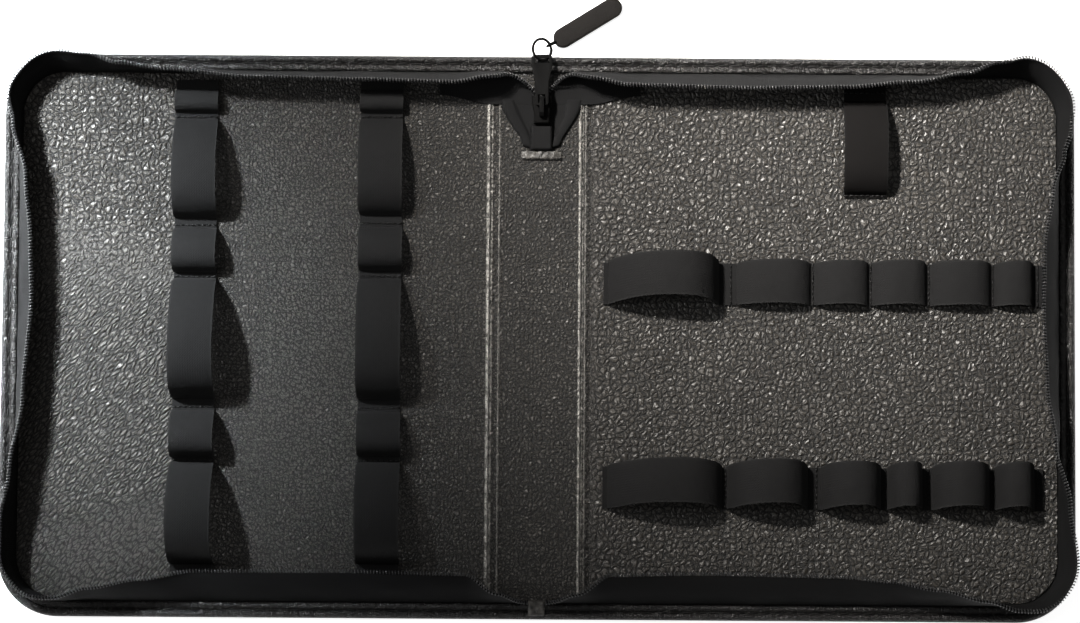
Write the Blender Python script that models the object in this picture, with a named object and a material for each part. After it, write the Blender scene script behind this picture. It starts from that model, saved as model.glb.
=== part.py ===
# Zip-round tool case of leatherette, lying open on its back.
# X runs along the open case, Y from its lower edge to the slider's edge, Z up.
# The origin is under the middle of the spine. Sizes are in millimetres, and
# each mesh is turned to metres when it is made.

import math

import bmesh
import bpy
from mathutils import Matrix, Vector

MM = 0.001
FIT_GAP = 0.3

# Cover: an outer skin turned over at the edge, two stiff panels and a spine strip
COVER_LENGTH = 482.0
COVER_DEPTH = 253.0
CORNER_RADIUS = 27.0
SKIN_THICKNESS = 1.6
PANEL_THICKNESS = 2.0
RIM_WIDTH = 7.0
SPINE_WIDTH = 36.5
CREASE_WIDTH = 4.3
CREASE_DEPTH = 0.7
CREASE_SLOPE_WIDTH = 1.3
PANEL_EDGE_ROUND = 0.5

# Zip: a tape that stands round each half, with its coil along the free edge
TAPE_WIDTH = 16.0
TAPE_THICKNESS = 1.0
COIL_RADIUS = 1.25
TAPE_START_HALF_GAP = 4.4
TAPE_LEAVE_INSET = 1.5
TAPE_TURN_SHARE = 0.62
COIL_GAP = 0.45

# Slider and pull
SLIDER_OFFSET = 0.8
SLIDER_WIDTH = 9.0
SLIDER_TAIL_WIDTH = 7.0
SLIDER_LENGTH = 12.2
SLIDER_HEIGHT = 4.6
SLIDER_PLATE = 1.1
SLIDER_EDGE_INSET = 18.8
SLIDER_WAIST_START = -0.2
SLIDER_WAIST_END = 0.45
SLIDER_FOOT_ROUND = 0.3
SLIDER_EDGE_ROUND = 0.5
CHANNEL_WIDTH = 5.0
BRIDGE_WIDTH = 2.0
BRIDGE_THICKNESS = 1.0
BRIDGE_CLEAR_HEIGHT = 2.8
BRIDGE_LENGTH = 8.0
BRIDGE_INSET = 0.9
BRIDGE_ROOT = 0.5
PULLER_LENGTH = 24.0
PULLER_TAIL_WIDTH = 6.4
PULLER_END_WIDTH = 9.4
PULLER_THICKNESS = 0.9
PULLER_DROP = 10.5
PULLER_TAIL_BAR = 1.3
PULLER_CORNER = 1.0
PULLER_EDGE_ROUND = 0.2
PULLER_FLARE_START = 0.45
PULLER_FLARE_END = 0.78
PULLER_EYE_WIDTH = 3.2
PULLER_EYE_LENGTH = 3.8
PULLER_END_BAR = 1.6
RING_SLOT_WIDTH = 6.4
RING_SLOT_LENGTH = 2.4
RING_RADIUS = 5.0
RING_WIRE_RADIUS = 0.5
RING_ROLL = 31.0
EYE_RADIUS = 1.5
EYE_WIRE_RADIUS = 0.35
STEM_WIRE_RADIUS = 0.49
STEM_REACH = 0.75
STEM_HEIGHT_SHARE = 0.6
TAB_LENGTH = 35.0
TAB_WIDTH = 9.0
TAB_THICKNESS = 3.2
TAB_EDGE_ROUND = 0.7
TAB_ANGLE = 32.0

# Zip ends: the folded tapes under the slider, and the tab over the joint below
GUSSET_TOP_WIDTH = 37.0
GUSSET_TAIL_WIDTH = 22.0
GUSSET_LENGTH = 23.0
CLOTH_THICKNESS = 1.0
FOLD_ROUND = 0.4
TAPE_END_WIDTH = 10.0
TAPE_END_LENGTH = 11.6
GUSSET_BAR_WIDTH = 18.0
GUSSET_BAR_LENGTH = 4.6
EDGE_TAB_WIDTH = 7.4
EDGE_TAB_LENGTH = 7.0

# Elastic bands, sewn down between their loops
BAND_WIDTH = 19.6
BAND_THICKNESS = 1.2
LOOP_RISE = 20.0
LOOP_SKEW = 0.22
LOOP_FULLNESS = 2.4
LOOP_ROUNDNESS = 0.75
ROW_LOOP_LEAN = 0.24
BAND_MARGIN = 3.4
ROW_MARGIN = 6.5
STRAP_LENGTH = 51.0

# Where the bands lie: columns on the left half and rows on the right half,
# as shares of half the cover's length or depth
OUTER_COLUMN_SHARE = -0.640
INNER_COLUMN_SHARE = -0.295
UPPER_ROW_SHARE = 0.190
LOWER_ROW_SHARE = -0.532
STRAP_COLUMN_SHARE = 0.607

# Turned edge, from under the cover round to the inside of the rim.
# inset: share of the rim's width, rise: share of the rim's height
RIM_PROFILE = (
    {"inset": 0.14, "rise": 0.00},
    {"inset": 0.03, "rise": 0.14},
    {"inset": 0.00, "rise": 0.45},
    {"inset": 0.04, "rise": 0.78},
    {"inset": 0.16, "rise": 0.97},
    {"inset": 0.32, "rise": 1.00},
    {"inset": 0.47, "rise": 0.82},
    {"inset": 0.55, "rise": 0.82},
    {"inset": 0.68, "rise": 1.00},
    {"inset": 0.88, "rise": 0.99},
    {"inset": 1.00, "rise": 0.86},
)

# How far the zip's free edge leans inwards along each tape.
# at: share of the tape's run, from the lower joint round to the slider
# lean: share of the tape's width, below nought where it leans outwards
LEFT_LEAN = (
    {"at": 0.000, "lean": 0.02},
    {"at": 0.018, "lean": 0.32},
    {"at": 0.040, "lean": 0.74},
    {"at": 0.120, "lean": 0.80},
    {"at": 0.215, "lean": 0.78},
    {"at": 0.250, "lean": 0.56},
    {"at": 0.283, "lean": 0.33},
    {"at": 0.306, "lean": 0.06},
    {"at": 0.328, "lean": -0.08},
    {"at": 0.350, "lean": -0.22},
    {"at": 0.374, "lean": -0.22},
    {"at": 0.405, "lean": 0.00},
    {"at": 0.453, "lean": 0.30},
    {"at": 0.519, "lean": 0.47},
    {"at": 0.555, "lean": 0.42},
    {"at": 0.597, "lean": 0.28},
    {"at": 0.632, "lean": -0.06},
    {"at": 0.656, "lean": -0.30},
    {"at": 0.680, "lean": -0.41},
    {"at": 0.702, "lean": -0.33},
    {"at": 0.722, "lean": -0.08},
    {"at": 0.755, "lean": 0.08},
    {"at": 0.807, "lean": 0.26},
    {"at": 0.880, "lean": 0.31},
    {"at": 0.945, "lean": 0.36},
    {"at": 0.966, "lean": 0.28},
    {"at": 1.000, "lean": 0.00},
)
RIGHT_LEAN = (
    {"at": 0.000, "lean": 0.02},
    {"at": 0.018, "lean": 0.30},
    {"at": 0.042, "lean": 0.74},
    {"at": 0.100, "lean": 0.80},
    {"at": 0.190, "lean": 0.74},
    {"at": 0.222, "lean": 0.63},
    {"at": 0.254, "lean": 0.42},
    {"at": 0.284, "lean": 0.14},
    {"at": 0.306, "lean": -0.10},
    {"at": 0.328, "lean": -0.26},
    {"at": 0.350, "lean": -0.32},
    {"at": 0.388, "lean": -0.12},
    {"at": 0.427, "lean": 0.24},
    {"at": 0.466, "lean": 0.45},
    {"at": 0.510, "lean": 0.52},
    {"at": 0.555, "lean": 0.50},
    {"at": 0.594, "lean": 0.28},
    {"at": 0.617, "lean": 0.00},
    {"at": 0.634, "lean": -0.20},
    {"at": 0.656, "lean": -0.30},
    {"at": 0.680, "lean": -0.40},
    {"at": 0.700, "lean": -0.24},
    {"at": 0.722, "lean": 0.06},
    {"at": 0.755, "lean": 0.28},
    {"at": 0.800, "lean": 0.42},
    {"at": 0.860, "lean": 0.46},
    {"at": 0.945, "lean": 0.40},
    {"at": 0.966, "lean": 0.30},
    {"at": 1.000, "lean": 0.00},
)

# How the tape ends: it drops to the joint at the lower edge, and at the slider
# it leaves its seam, climbs on to the spine and narrows into the slider.
# height: share of the tape's width, lift: share of the climb out of the seam
TAPE_ENDS = (
    {"at": 0.000, "height": 0.24, "lift": 0.0},
    {"at": 0.020, "height": 0.72, "lift": 0.0},
    {"at": 0.040, "height": 1.00, "lift": 0.0},
    {"at": 0.940, "height": 1.00, "lift": 0.0},
    {"at": 0.962, "height": 0.74, "lift": 1.0},
    {"at": 0.982, "height": 0.32, "lift": 1.0},
    {"at": 0.993, "height": 0.05, "lift": 1.0},
    {"at": 1.000, "height": 0.03, "lift": 1.0},
)

# Bridge on the slider that holds the puller. along: share of the bridge's length,
# rise: share of its height, root: 1 where its foot goes into the slider
BRIDGE_ARCH = (
    {"along": 0.00, "rise": 0.00, "root": 1},
    {"along": 0.00, "rise": 0.75, "root": 0},
    {"along": 0.18, "rise": 1.00, "root": 0},
    {"along": 0.82, "rise": 1.00, "root": 0},
    {"along": 1.00, "rise": 0.75, "root": 0},
    {"along": 1.00, "rise": 0.00, "root": 1},
)

# Loops of each band. start, end: shares of the band's length,
# rise: share of the tallest loop's
OUTER_COLUMN_LOOPS = (
    {"name": "stub", "start": 0.021, "end": 0.062, "rise": 0.26},
    {"name": "first", "start": 0.078, "end": 0.270, "rise": 0.66},
    {"name": "second", "start": 0.294, "end": 0.377, "rise": 0.44},
    {"name": "third", "start": 0.392, "end": 0.624, "rise": 0.98},
    {"name": "fourth", "start": 0.651, "end": 0.740, "rise": 0.56},
    {"name": "fifth", "start": 0.751, "end": 0.946, "rise": 1.00},
)
INNER_COLUMN_LOOPS = (
    {"name": "stub", "start": 0.018, "end": 0.060, "rise": 0.26},
    {"name": "first", "start": 0.076, "end": 0.262, "rise": 0.58},
    {"name": "second", "start": 0.289, "end": 0.371, "rise": 0.42},
    {"name": "third", "start": 0.391, "end": 0.624, "rise": 0.88},
    {"name": "fourth", "start": 0.651, "end": 0.735, "rise": 0.50},
    {"name": "fifth", "start": 0.750, "end": 0.944, "rise": 0.90},
)
UPPER_ROW_LOOPS = (
    {"name": "first", "start": 0.012, "end": 0.262, "rise": 0.86},
    {"name": "second", "start": 0.304, "end": 0.470, "rise": 0.29},
    {"name": "third", "start": 0.480, "end": 0.602, "rise": 0.27},
    {"name": "fourth", "start": 0.612, "end": 0.734, "rise": 0.28},
    {"name": "fifth", "start": 0.744, "end": 0.880, "rise": 0.28},
    {"name": "sixth", "start": 0.890, "end": 0.978, "rise": 0.27},
)
LOWER_ROW_LOOPS = (
    {"name": "first", "start": 0.012, "end": 0.270, "rise": 0.74},
    {"name": "second", "start": 0.284, "end": 0.464, "rise": 0.76},
    {"name": "third", "start": 0.496, "end": 0.630, "rise": 0.60},
    {"name": "fourth", "start": 0.648, "end": 0.724, "rise": 0.54},
    {"name": "fifth", "start": 0.748, "end": 0.876, "rise": 0.62},
    {"name": "sixth", "start": 0.888, "end": 0.978, "rise": 0.56},
)
STRAP_LOOPS = (
    {"name": "loop", "start": 0.150, "end": 0.970, "rise": 0.42},
)

# Detail of the faceted shapes
CORNER_STEPS = 8
TAPE_STEP = 9.0
TAPE_LEVELS = 4
LOOP_STEPS = 14
RUN_IN_STEPS = 5
WIRE_SIDES_LEVEL = 1
RING_STEPS = 16
LEAST_MITRE = 0.62

# Heights and insets that follow from the sizes above
PANEL_BASE = SKIN_THICKNESS + FIT_GAP
PANEL_TOP = PANEL_BASE + PANEL_THICKNESS
TAPE_INSET = RIM_WIDTH + FIT_GAP + TAPE_THICKNESS / 2
PANEL_INSET = RIM_WIDTH + TAPE_THICKNESS + 2 * FIT_GAP
PANEL_INNER_EDGE = SPINE_WIDTH / 2 + CREASE_WIDTH
CLOTH_BASE = PANEL_TOP + FIT_GAP
CLOTH_TOP = CLOTH_BASE + CLOTH_THICKNESS
SLIDER_BASE = CLOTH_TOP + FIT_GAP
SLIDER_TOP = SLIDER_BASE + SLIDER_HEIGHT
SLIDER_MOUTH = COVER_DEPTH / 2 - SLIDER_EDGE_INSET
TAPE_CLIMB = SLIDER_BASE - PANEL_BASE


def material(name, colour, roughness, metallic=0.0):
    made = bpy.data.materials.new(name)
    made.use_nodes = True
    shader = made.node_tree.nodes["Principled BSDF"]
    shader.inputs["Base Color"].default_value = (*colour, 1.0)
    shader.inputs["Roughness"].default_value = roughness
    shader.inputs["Metallic"].default_value = metallic
    return made


def add_mesh(name, points, faces, finish, place=(0.0, 0.0, 0.0)):
    """One object from points and faces in millimetres, with its normals outwards."""
    form = bmesh.new()
    corners = [form.verts.new(Vector(point) * MM) for point in points]
    for face in faces:
        form.faces.new([corners[index] for index in face])
    bmesh.ops.recalc_face_normals(form, faces=form.faces)
    mesh = bpy.data.meshes.new(name)
    form.to_mesh(mesh)
    form.free()
    mesh.materials.append(finish)
    mesh.shade_smooth()
    mesh.set_sharp_from_angle(angle=math.radians(35))
    piece = bpy.data.objects.new(name, mesh)
    piece.location = Vector(place) * MM
    bpy.context.collection.objects.link(piece)
    return piece


def stack_rings(rings):
    """Faces of a closed form through rings of equally many points."""
    count = len(rings[0])
    points = [point for ring in rings for point in ring]
    faces = []
    for level in range(len(rings) - 1):
        for index in range(count):
            after = (index + 1) % count
            faces.append((
                level * count + index,
                level * count + after,
                (level + 1) * count + after,
                (level + 1) * count + index,
            ))
    faces.append(tuple(range(count)))
    faces.append(tuple((len(rings) - 1) * count + index for index in range(count)))
    return points, faces


def corner_arc(centre, radius, start_angle, sweep=90.0):
    """Points of one rounded corner, both ends included."""
    points = []
    for step in range(CORNER_STEPS + 1):
        angle = math.radians(start_angle + sweep * step / CORNER_STEPS)
        points.append((
            centre[0] + radius * math.cos(angle),
            centre[1] + radius * math.sin(angle),
        ))
    return points


def cover_outline(inset):
    """The cover's rounded outline, brought in by an inset."""
    radius = CORNER_RADIUS - inset
    x = COVER_LENGTH / 2 - CORNER_RADIUS
    y = COVER_DEPTH / 2 - CORNER_RADIUS
    points = []
    points += corner_arc((x, y), radius, 0)
    points += corner_arc((-x, y), radius, 90)
    points += corner_arc((-x, -y), radius, 180)
    points += corner_arc((x, -y), radius, 270)
    return points


def panel_outline(side, inset):
    """One half's panel: rounded at the cover's corners, square at the crease."""
    radius = CORNER_RADIUS - PANEL_INSET - inset
    x = COVER_LENGTH / 2 - CORNER_RADIUS
    y = COVER_DEPTH / 2 - CORNER_RADIUS
    inner = PANEL_INNER_EDGE + inset
    edge = COVER_DEPTH / 2 - PANEL_INSET - inset
    points = [(inner, -edge)]
    points += corner_arc((x, -y), radius, 270)
    points += corner_arc((x, y), radius, 0)
    points.append((inner, edge))
    return [(side * point[0], point[1]) for point in points]


def box_outline(width, length, inset=0.0):
    x = width / 2 - inset
    y = length / 2 - inset
    return [(-x, -y), (x, -y), (x, y), (-x, y)]


def slab(name, outline, levels, finish, place=(0.0, 0.0, 0.0)):
    """A flat piece through levels of (inset, height) of one outline."""
    rings = [[(x, y, height) for x, y in outline(inset)] for inset, height in levels]
    points, faces = stack_rings(rings)
    return add_mesh(name, points, faces, finish, place)


def rounded_levels(base, thickness, edge):
    """Levels of a slab whose upper edge is eased."""
    return ((0.0, base), (0.0, base + thickness - edge), (edge, base + thickness))


def thick_sheet(name, grid, thickness, finish, place=(0.0, 0.0, 0.0)):
    """A closed wall of even thickness about a grid of middle points."""
    rows = len(grid)
    columns = len(grid[0])
    grid = [[Vector(point) for point in row] for row in grid]
    normals = [[[] for _ in range(columns)] for _ in range(rows)]
    for i in range(rows - 1):
        for j in range(columns - 1):
            across = grid[i + 1][j + 1] - grid[i][j]
            other = grid[i][j + 1] - grid[i + 1][j]
            facing = across.cross(other).normalized()
            for row, column in ((i, j), (i + 1, j), (i, j + 1), (i + 1, j + 1)):
                normals[row][column].append(facing)
    front = []
    back = []
    for i in range(rows):
        for j in range(columns):
            mean = sum(normals[i][j], Vector()).normalized()
            mitre = max(LEAST_MITRE, min(mean.dot(facing) for facing in normals[i][j]))
            shift = mean * (thickness / 2 / mitre)
            front.append(grid[i][j] + shift)
            back.append(grid[i][j] - shift)
    points = front + back
    total = rows * columns
    faces = []
    for i in range(rows - 1):
        for j in range(columns - 1):
            corner = i * columns + j
            quad = (corner, corner + 1, corner + columns + 1, corner + columns)
            faces.append(quad)
            faces.append(tuple(total + index for index in reversed(quad)))
    border = [j for j in range(columns)]
    border += [i * columns + columns - 1 for i in range(1, rows)]
    border += [(rows - 1) * columns + j for j in range(columns - 2, -1, -1)]
    border += [i * columns for i in range(rows - 2, 0, -1)]
    for index, start in enumerate(border):
        end = border[(index + 1) % len(border)]
        faces.append((start, end, total + end, total + start))
    return add_mesh(name, points, faces, finish, place)


def wire(name, points, radius, finish, closed=False):
    """A round wire or bead through points: a bevelled curve made into a mesh."""
    curve = bpy.data.curves.new(name, "CURVE")
    curve.dimensions = "3D"
    curve.bevel_depth = radius * MM
    curve.bevel_resolution = WIRE_SIDES_LEVEL
    curve.use_fill_caps = not closed
    spline = curve.splines.new("POLY")
    spline.points.add(len(points) - 1)
    for target, point in zip(spline.points, points):
        target.co = (*(Vector(point) * MM), 1.0)
    spline.use_cyclic_u = closed
    guide = bpy.data.objects.new(name + "_guide", curve)
    mesh = bpy.data.meshes.new_from_object(guide)
    bpy.data.objects.remove(guide)
    form = bmesh.new()
    form.from_mesh(mesh)
    bmesh.ops.remove_doubles(form, verts=form.verts, dist=MM * 0.001)
    bmesh.ops.recalc_face_normals(form, faces=form.faces)
    form.to_mesh(mesh)
    form.free()
    mesh.materials.clear()
    mesh.materials.append(finish)
    mesh.shade_smooth()
    mesh.set_sharp_from_angle(angle=math.radians(75))
    piece = bpy.data.objects.new(name, mesh)
    bpy.context.collection.objects.link(piece)
    return piece


def cut(piece, cutter, operation="DIFFERENCE"):
    """Cuts or joins with a hidden helper object."""
    cutter.hide_render = True
    cutter.display_type = "WIRE"
    change = piece.modifiers.new(cutter.name, "BOOLEAN")
    change.operation = operation
    change.solver = "EXACT"
    change.object = cutter


def read_table(table, at, column):
    """A column of a table at a share between its rows, eased from row to row."""
    for before, after in zip(table, table[1:]):
        if at <= after["at"]:
            share = (at - before["at"]) / (after["at"] - before["at"])
            eased = share * share * (3 - 2 * share)
            return before[column] + (after[column] - before[column]) * eased
    return table[-1][column]


def stretch(start, end):
    """Points from start up to but not including end, a tape step apart."""
    start = Vector(start)
    end = Vector(end)
    steps = max(1, round((end - start).length / TAPE_STEP))
    return [start.lerp(end, step / steps) for step in range(steps)]


def tape_run(side):
    """Middle line of one tape's seam: round its half, then in to the slider."""
    radius = CORNER_RADIUS - TAPE_INSET
    x = COVER_LENGTH / 2 - CORNER_RADIUS
    y = COVER_DEPTH / 2 - CORNER_RADIUS
    edge = COVER_DEPTH / 2 - TAPE_INSET
    leave = SPINE_WIDTH / 2 - TAPE_LEAVE_INSET
    points = stretch((TAPE_START_HALF_GAP, -edge), (x, -edge))
    points += [Vector(point) for point in corner_arc((x, -y), radius, 270)[:-1]]
    points += stretch((COVER_LENGTH / 2 - TAPE_INSET, -y), (COVER_LENGTH / 2 - TAPE_INSET, y))
    points += [Vector(point) for point in corner_arc((x, y), radius, 0)[:-1]]
    points += stretch((x, edge), (leave, edge))
    start = Vector((leave, edge))
    bend = Vector((leave * TAPE_TURN_SHARE, edge))
    mouth_side = side * SLIDER_OFFSET + CHANNEL_WIDTH / 2
    end = Vector((mouth_side, SLIDER_MOUTH + COIL_RADIUS + FIT_GAP))
    for step in range(RUN_IN_STEPS + 1):
        share = step / RUN_IN_STEPS
        points.append(start * (1 - share) ** 2 + bend * 2 * share * (1 - share) + end * share ** 2)
    return [Vector((side * point.x, point.y)) for point in points]


def tape_sections(side, lean_table):
    """Sections of one tape, each a list of points from its seam to its free edge."""
    run = tape_run(side)
    lengths = [0.0]
    for before, after in zip(run, run[1:]):
        lengths.append(lengths[-1] + (after - before).length)
    sections = []
    for index, point in enumerate(run):
        at = lengths[index] / lengths[-1]
        before = run[max(index - 1, 0)]
        after = run[min(index + 1, len(run) - 1)]
        along = (after - before).normalized()
        inward = Vector((-along.y, along.x)) * side
        lean = read_table(lean_table, at, "lean")
        height = read_table(TAPE_ENDS, at, "height") * TAPE_WIDTH
        base = PANEL_BASE + TAPE_CLIMB * read_table(TAPE_ENDS, at, "lift")
        mean_angle = math.asin(lean)
        rise = min(PANEL_THICKNESS, height)
        section = [(point.x, point.y, base)]
        out = 0.0
        for level in range(TAPE_LEVELS + 1):
            section.append((point.x + inward.x * out, point.y + inward.y * out, base + rise))
            angle = mean_angle * (0.5 + (level + 0.5) / TAPE_LEVELS)
            out += math.sin(angle) * height / TAPE_LEVELS
            rise += math.cos(angle) * height / TAPE_LEVELS
        sections.append(section)
    return sections


def coil_line(sections):
    """Middle line of the coil, square to the free edge and just past it."""
    line = []
    edge = [Vector(section[-1]) for section in sections]
    for index, section in enumerate(sections):
        along = (edge[min(index + 1, len(edge) - 1)] - edge[max(index - 1, 0)]).normalized()
        out = (edge[index] - Vector(section[-2])).normalized()
        square = (out - along * out.dot(along)).normalized()
        line.append(edge[index] + square * (COIL_RADIUS + COIL_GAP))
    return line


def loop_profile(loops, length):
    """Middle line of a band seen from its side, as (along, height above its base)."""
    line = [(0.0, 0.0)]
    for loop in loops:
        start = loop["start"] * length
        end = loop["end"] * length
        for step in range(LOOP_STEPS + 1):
            share = -math.cos(math.pi * step / LOOP_STEPS)
            arch = max(0.0, 1 - abs(share) ** LOOP_FULLNESS) ** LOOP_ROUNDNESS
            skew = LOOP_SKEW * (1 - share * share)
            along = start + (end - start) * (0.5 + 0.5 * (share + skew))
            line.append((along, loop["rise"] * LOOP_RISE * arch))
    line.append((length, 0.0))
    return line


def band(name, loops, length, start, heading, finish, lean=0.0):
    """An elastic band from its start along its heading, arched at each loop."""
    across = Vector((heading.y, -heading.x, 0.0))
    tilt = Vector((0.0, lean, 0.0))
    base = CLOTH_BASE + BAND_THICKNESS / 2
    grid = []
    for along, height in loop_profile(loops, length):
        middle = heading * along + tilt * height + Vector((0.0, 0.0, base + height))
        grid.append([middle - across * BAND_WIDTH / 2, middle + across * BAND_WIDTH / 2])
    return thick_sheet(name, grid, BAND_THICKNESS, finish, start)


def make_cover(leather, lining):
    rim_height = PANEL_TOP
    levels = [(row["inset"] * RIM_WIDTH, row["rise"] * rim_height) for row in RIM_PROFILE]
    levels.append((RIM_WIDTH, SKIN_THICKNESS))
    skin = slab("cover_skin", cover_outline, levels, leather)
    for side, label in ((-1, "left"), (1, "right")):
        middle = side * (SPINE_WIDTH + CREASE_WIDTH) / 2
        groove = slab(
            "crease_cutter_" + label,
            lambda inset: box_outline(CREASE_WIDTH, COVER_DEPTH * 2, inset),
            ((0.0, -CREASE_DEPTH), (CREASE_SLOPE_WIDTH, CREASE_DEPTH)),
            leather,
            (middle, 0.0, 0.0),
        )
        cut(skin, groove)
        slab(
            "panel_" + label,
            lambda inset: panel_outline(side, inset),
            rounded_levels(PANEL_BASE, PANEL_THICKNESS, PANEL_EDGE_ROUND),
            lining,
        )
    slab(
        "spine_strip",
        lambda inset: box_outline(SPINE_WIDTH, COVER_DEPTH - 2 * PANEL_INSET, inset),
        rounded_levels(PANEL_BASE, PANEL_THICKNESS, PANEL_EDGE_ROUND),
        lining,
    )


def make_zip(tape_cloth, coil_plastic):
    for side, label, lean_table in ((-1, "left", LEFT_LEAN), (1, "right", RIGHT_LEAN)):
        sections = tape_sections(side, lean_table)
        thick_sheet("zip_tape_" + label, sections, TAPE_THICKNESS, tape_cloth)
        wire("zip_coil_" + label, coil_line(sections), COIL_RADIUS, coil_plastic)


def make_zip_ends(tape_cloth, leather):
    gusset_top = SLIDER_MOUTH - FIT_GAP
    half_top = GUSSET_TOP_WIDTH / 2
    half_tail = GUSSET_TAIL_WIDTH / 2
    tail = -GUSSET_LENGTH
    slab(
        "tape_gusset",
        lambda inset: [
            (-half_tail + inset, tail + inset),
            (half_tail - inset, tail + inset),
            (half_top - inset, -inset),
            (-half_top + inset, -inset),
        ],
        ((0.0, CLOTH_BASE), (0.0, CLOTH_TOP)),
        tape_cloth,
        (SLIDER_OFFSET, gusset_top, 0.0),
    )
    slab(
        "tape_end",
        lambda inset: box_outline(TAPE_END_WIDTH, TAPE_END_LENGTH, inset),
        rounded_levels(CLOTH_TOP + FIT_GAP, 2 * CLOTH_THICKNESS, FOLD_ROUND),
        tape_cloth,
        (SLIDER_OFFSET, SLIDER_MOUTH - SLIDER_LENGTH - FIT_GAP - TAPE_END_LENGTH / 2, 0.0),
    )
    slab(
        "gusset_bar",
        lambda inset: box_outline(GUSSET_BAR_WIDTH, GUSSET_BAR_LENGTH, inset),
        rounded_levels(CLOTH_BASE, CLOTH_THICKNESS, FOLD_ROUND),
        leather,
        (SLIDER_OFFSET, gusset_top - GUSSET_LENGTH - FIT_GAP - GUSSET_BAR_LENGTH / 2, 0.0),
    )
    slab(
        "edge_tab",
        lambda inset: box_outline(EDGE_TAB_WIDTH, EDGE_TAB_LENGTH, inset),
        rounded_levels(PANEL_TOP + FIT_GAP, CLOTH_THICKNESS, FOLD_ROUND),
        leather,
        (0.0, -COVER_DEPTH / 2 + PANEL_INSET - EDGE_TAB_LENGTH / 2, 0.0),
    )


def make_slider(metal):
    half = SLIDER_WIDTH / 2
    tail = SLIDER_TAIL_WIDTH / 2
    middle = SLIDER_LENGTH / 2
    body = slab(
        "slider_body",
        lambda inset: [
            (-tail + inset, -middle + inset),
            (tail - inset, -middle + inset),
            (tail - inset, middle * SLIDER_WAIST_START),
            (half - inset, middle * SLIDER_WAIST_END),
            (half - inset, middle - inset),
            (-half + inset, middle - inset),
            (-half + inset, middle * SLIDER_WAIST_END),
            (-tail + inset, middle * SLIDER_WAIST_START),
        ],
        (
            (SLIDER_FOOT_ROUND, 0.0),
            (0.0, SLIDER_FOOT_ROUND),
            (0.0, SLIDER_HEIGHT - SLIDER_EDGE_ROUND),
            (SLIDER_EDGE_ROUND, SLIDER_HEIGHT),
        ),
        metal,
        (SLIDER_OFFSET, SLIDER_MOUTH - middle, SLIDER_BASE),
    )
    channel = slab(
        "channel_cutter",
        lambda inset: box_outline(CHANNEL_WIDTH, SLIDER_LENGTH * 2, inset),
        ((0.0, SLIDER_PLATE), (0.0, SLIDER_HEIGHT - SLIDER_PLATE)),
        metal,
    )
    channel.parent = body
    cut(body, channel)
    arch = []
    for row in BRIDGE_ARCH:
        y = middle - BRIDGE_INSET - BRIDGE_LENGTH * (1 - row["along"])
        rise = row["rise"] * (BRIDGE_CLEAR_HEIGHT + BRIDGE_THICKNESS / 2)
        z = SLIDER_HEIGHT + rise - row["root"] * BRIDGE_ROOT
        arch.append([(-BRIDGE_WIDTH / 2, y, z), (BRIDGE_WIDTH / 2, y, z)])
    bridge = thick_sheet("bridge_joiner", arch, BRIDGE_THICKNESS, metal)
    bridge.parent = body
    cut(body, bridge, "UNION")


def make_puller(metal):
    """Plate from the slider's bridge to the ring, sloping down over the cover's edge."""
    tail = PULLER_TAIL_WIDTH / 2
    end = PULLER_END_WIDTH / 2
    pivot = Vector((
        SLIDER_OFFSET,
        SLIDER_MOUTH - BRIDGE_INSET - BRIDGE_THICKNESS / 2,
        SLIDER_TOP + BRIDGE_CLEAR_HEIGHT / 2,
    ))
    start = -PULLER_EYE_LENGTH / 2 - PULLER_TAIL_BAR
    finish = start + PULLER_LENGTH
    flare_start = start + PULLER_LENGTH * PULLER_FLARE_START
    flare_end = start + PULLER_LENGTH * PULLER_FLARE_END
    corner = PULLER_CORNER
    puller = slab(
        "slider_puller",
        lambda inset: [
            (-tail + corner, start + inset),
            (tail - corner, start + inset),
            (tail - inset, start + corner),
            (tail - inset, flare_start),
            (end - inset, flare_end),
            (end - inset, finish - corner),
            (end - corner, finish - inset),
            (-end + corner, finish - inset),
            (-end + inset, finish - corner),
            (-end + inset, flare_end),
            (-tail + inset, flare_start),
            (-tail + inset, start + corner),
        ],
        (
            (PULLER_EDGE_ROUND, -PULLER_THICKNESS / 2),
            (0.0, -PULLER_THICKNESS / 2 + PULLER_EDGE_ROUND),
            (0.0, PULLER_THICKNESS / 2 - PULLER_EDGE_ROUND),
            (PULLER_EDGE_ROUND, PULLER_THICKNESS / 2),
        ),
        metal,
        pivot,
    )
    puller.rotation_euler.x = math.radians(-PULLER_DROP)
    slot_middle = finish - PULLER_END_BAR - RING_SLOT_LENGTH / 2
    for label, width, length, middle in (
        ("eye_cutter", PULLER_EYE_WIDTH, PULLER_EYE_LENGTH, 0.0),
        ("slot_cutter", RING_SLOT_WIDTH, RING_SLOT_LENGTH, slot_middle),
    ):
        cutter = slab(
            label,
            lambda inset: box_outline(width, length, inset),
            ((0.0, -PULLER_THICKNESS), (0.0, PULLER_THICKNESS)),
            metal,
            (0.0, middle, 0.0),
        )
        cutter.parent = puller
        cut(puller, cutter)
    turn = Matrix.Rotation(math.radians(-PULLER_DROP), 3, "X")
    return pivot + turn @ Vector((0.0, slot_middle, 0.0))


def circle(radius, turn, centre):
    """Points of a ring's wire, turned and placed."""
    points = []
    for step in range(RING_STEPS):
        angle = 2 * math.pi * step / RING_STEPS
        points.append(centre + turn @ Vector((radius * math.cos(angle), radius * math.sin(angle), 0.0)))
    return points


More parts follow.
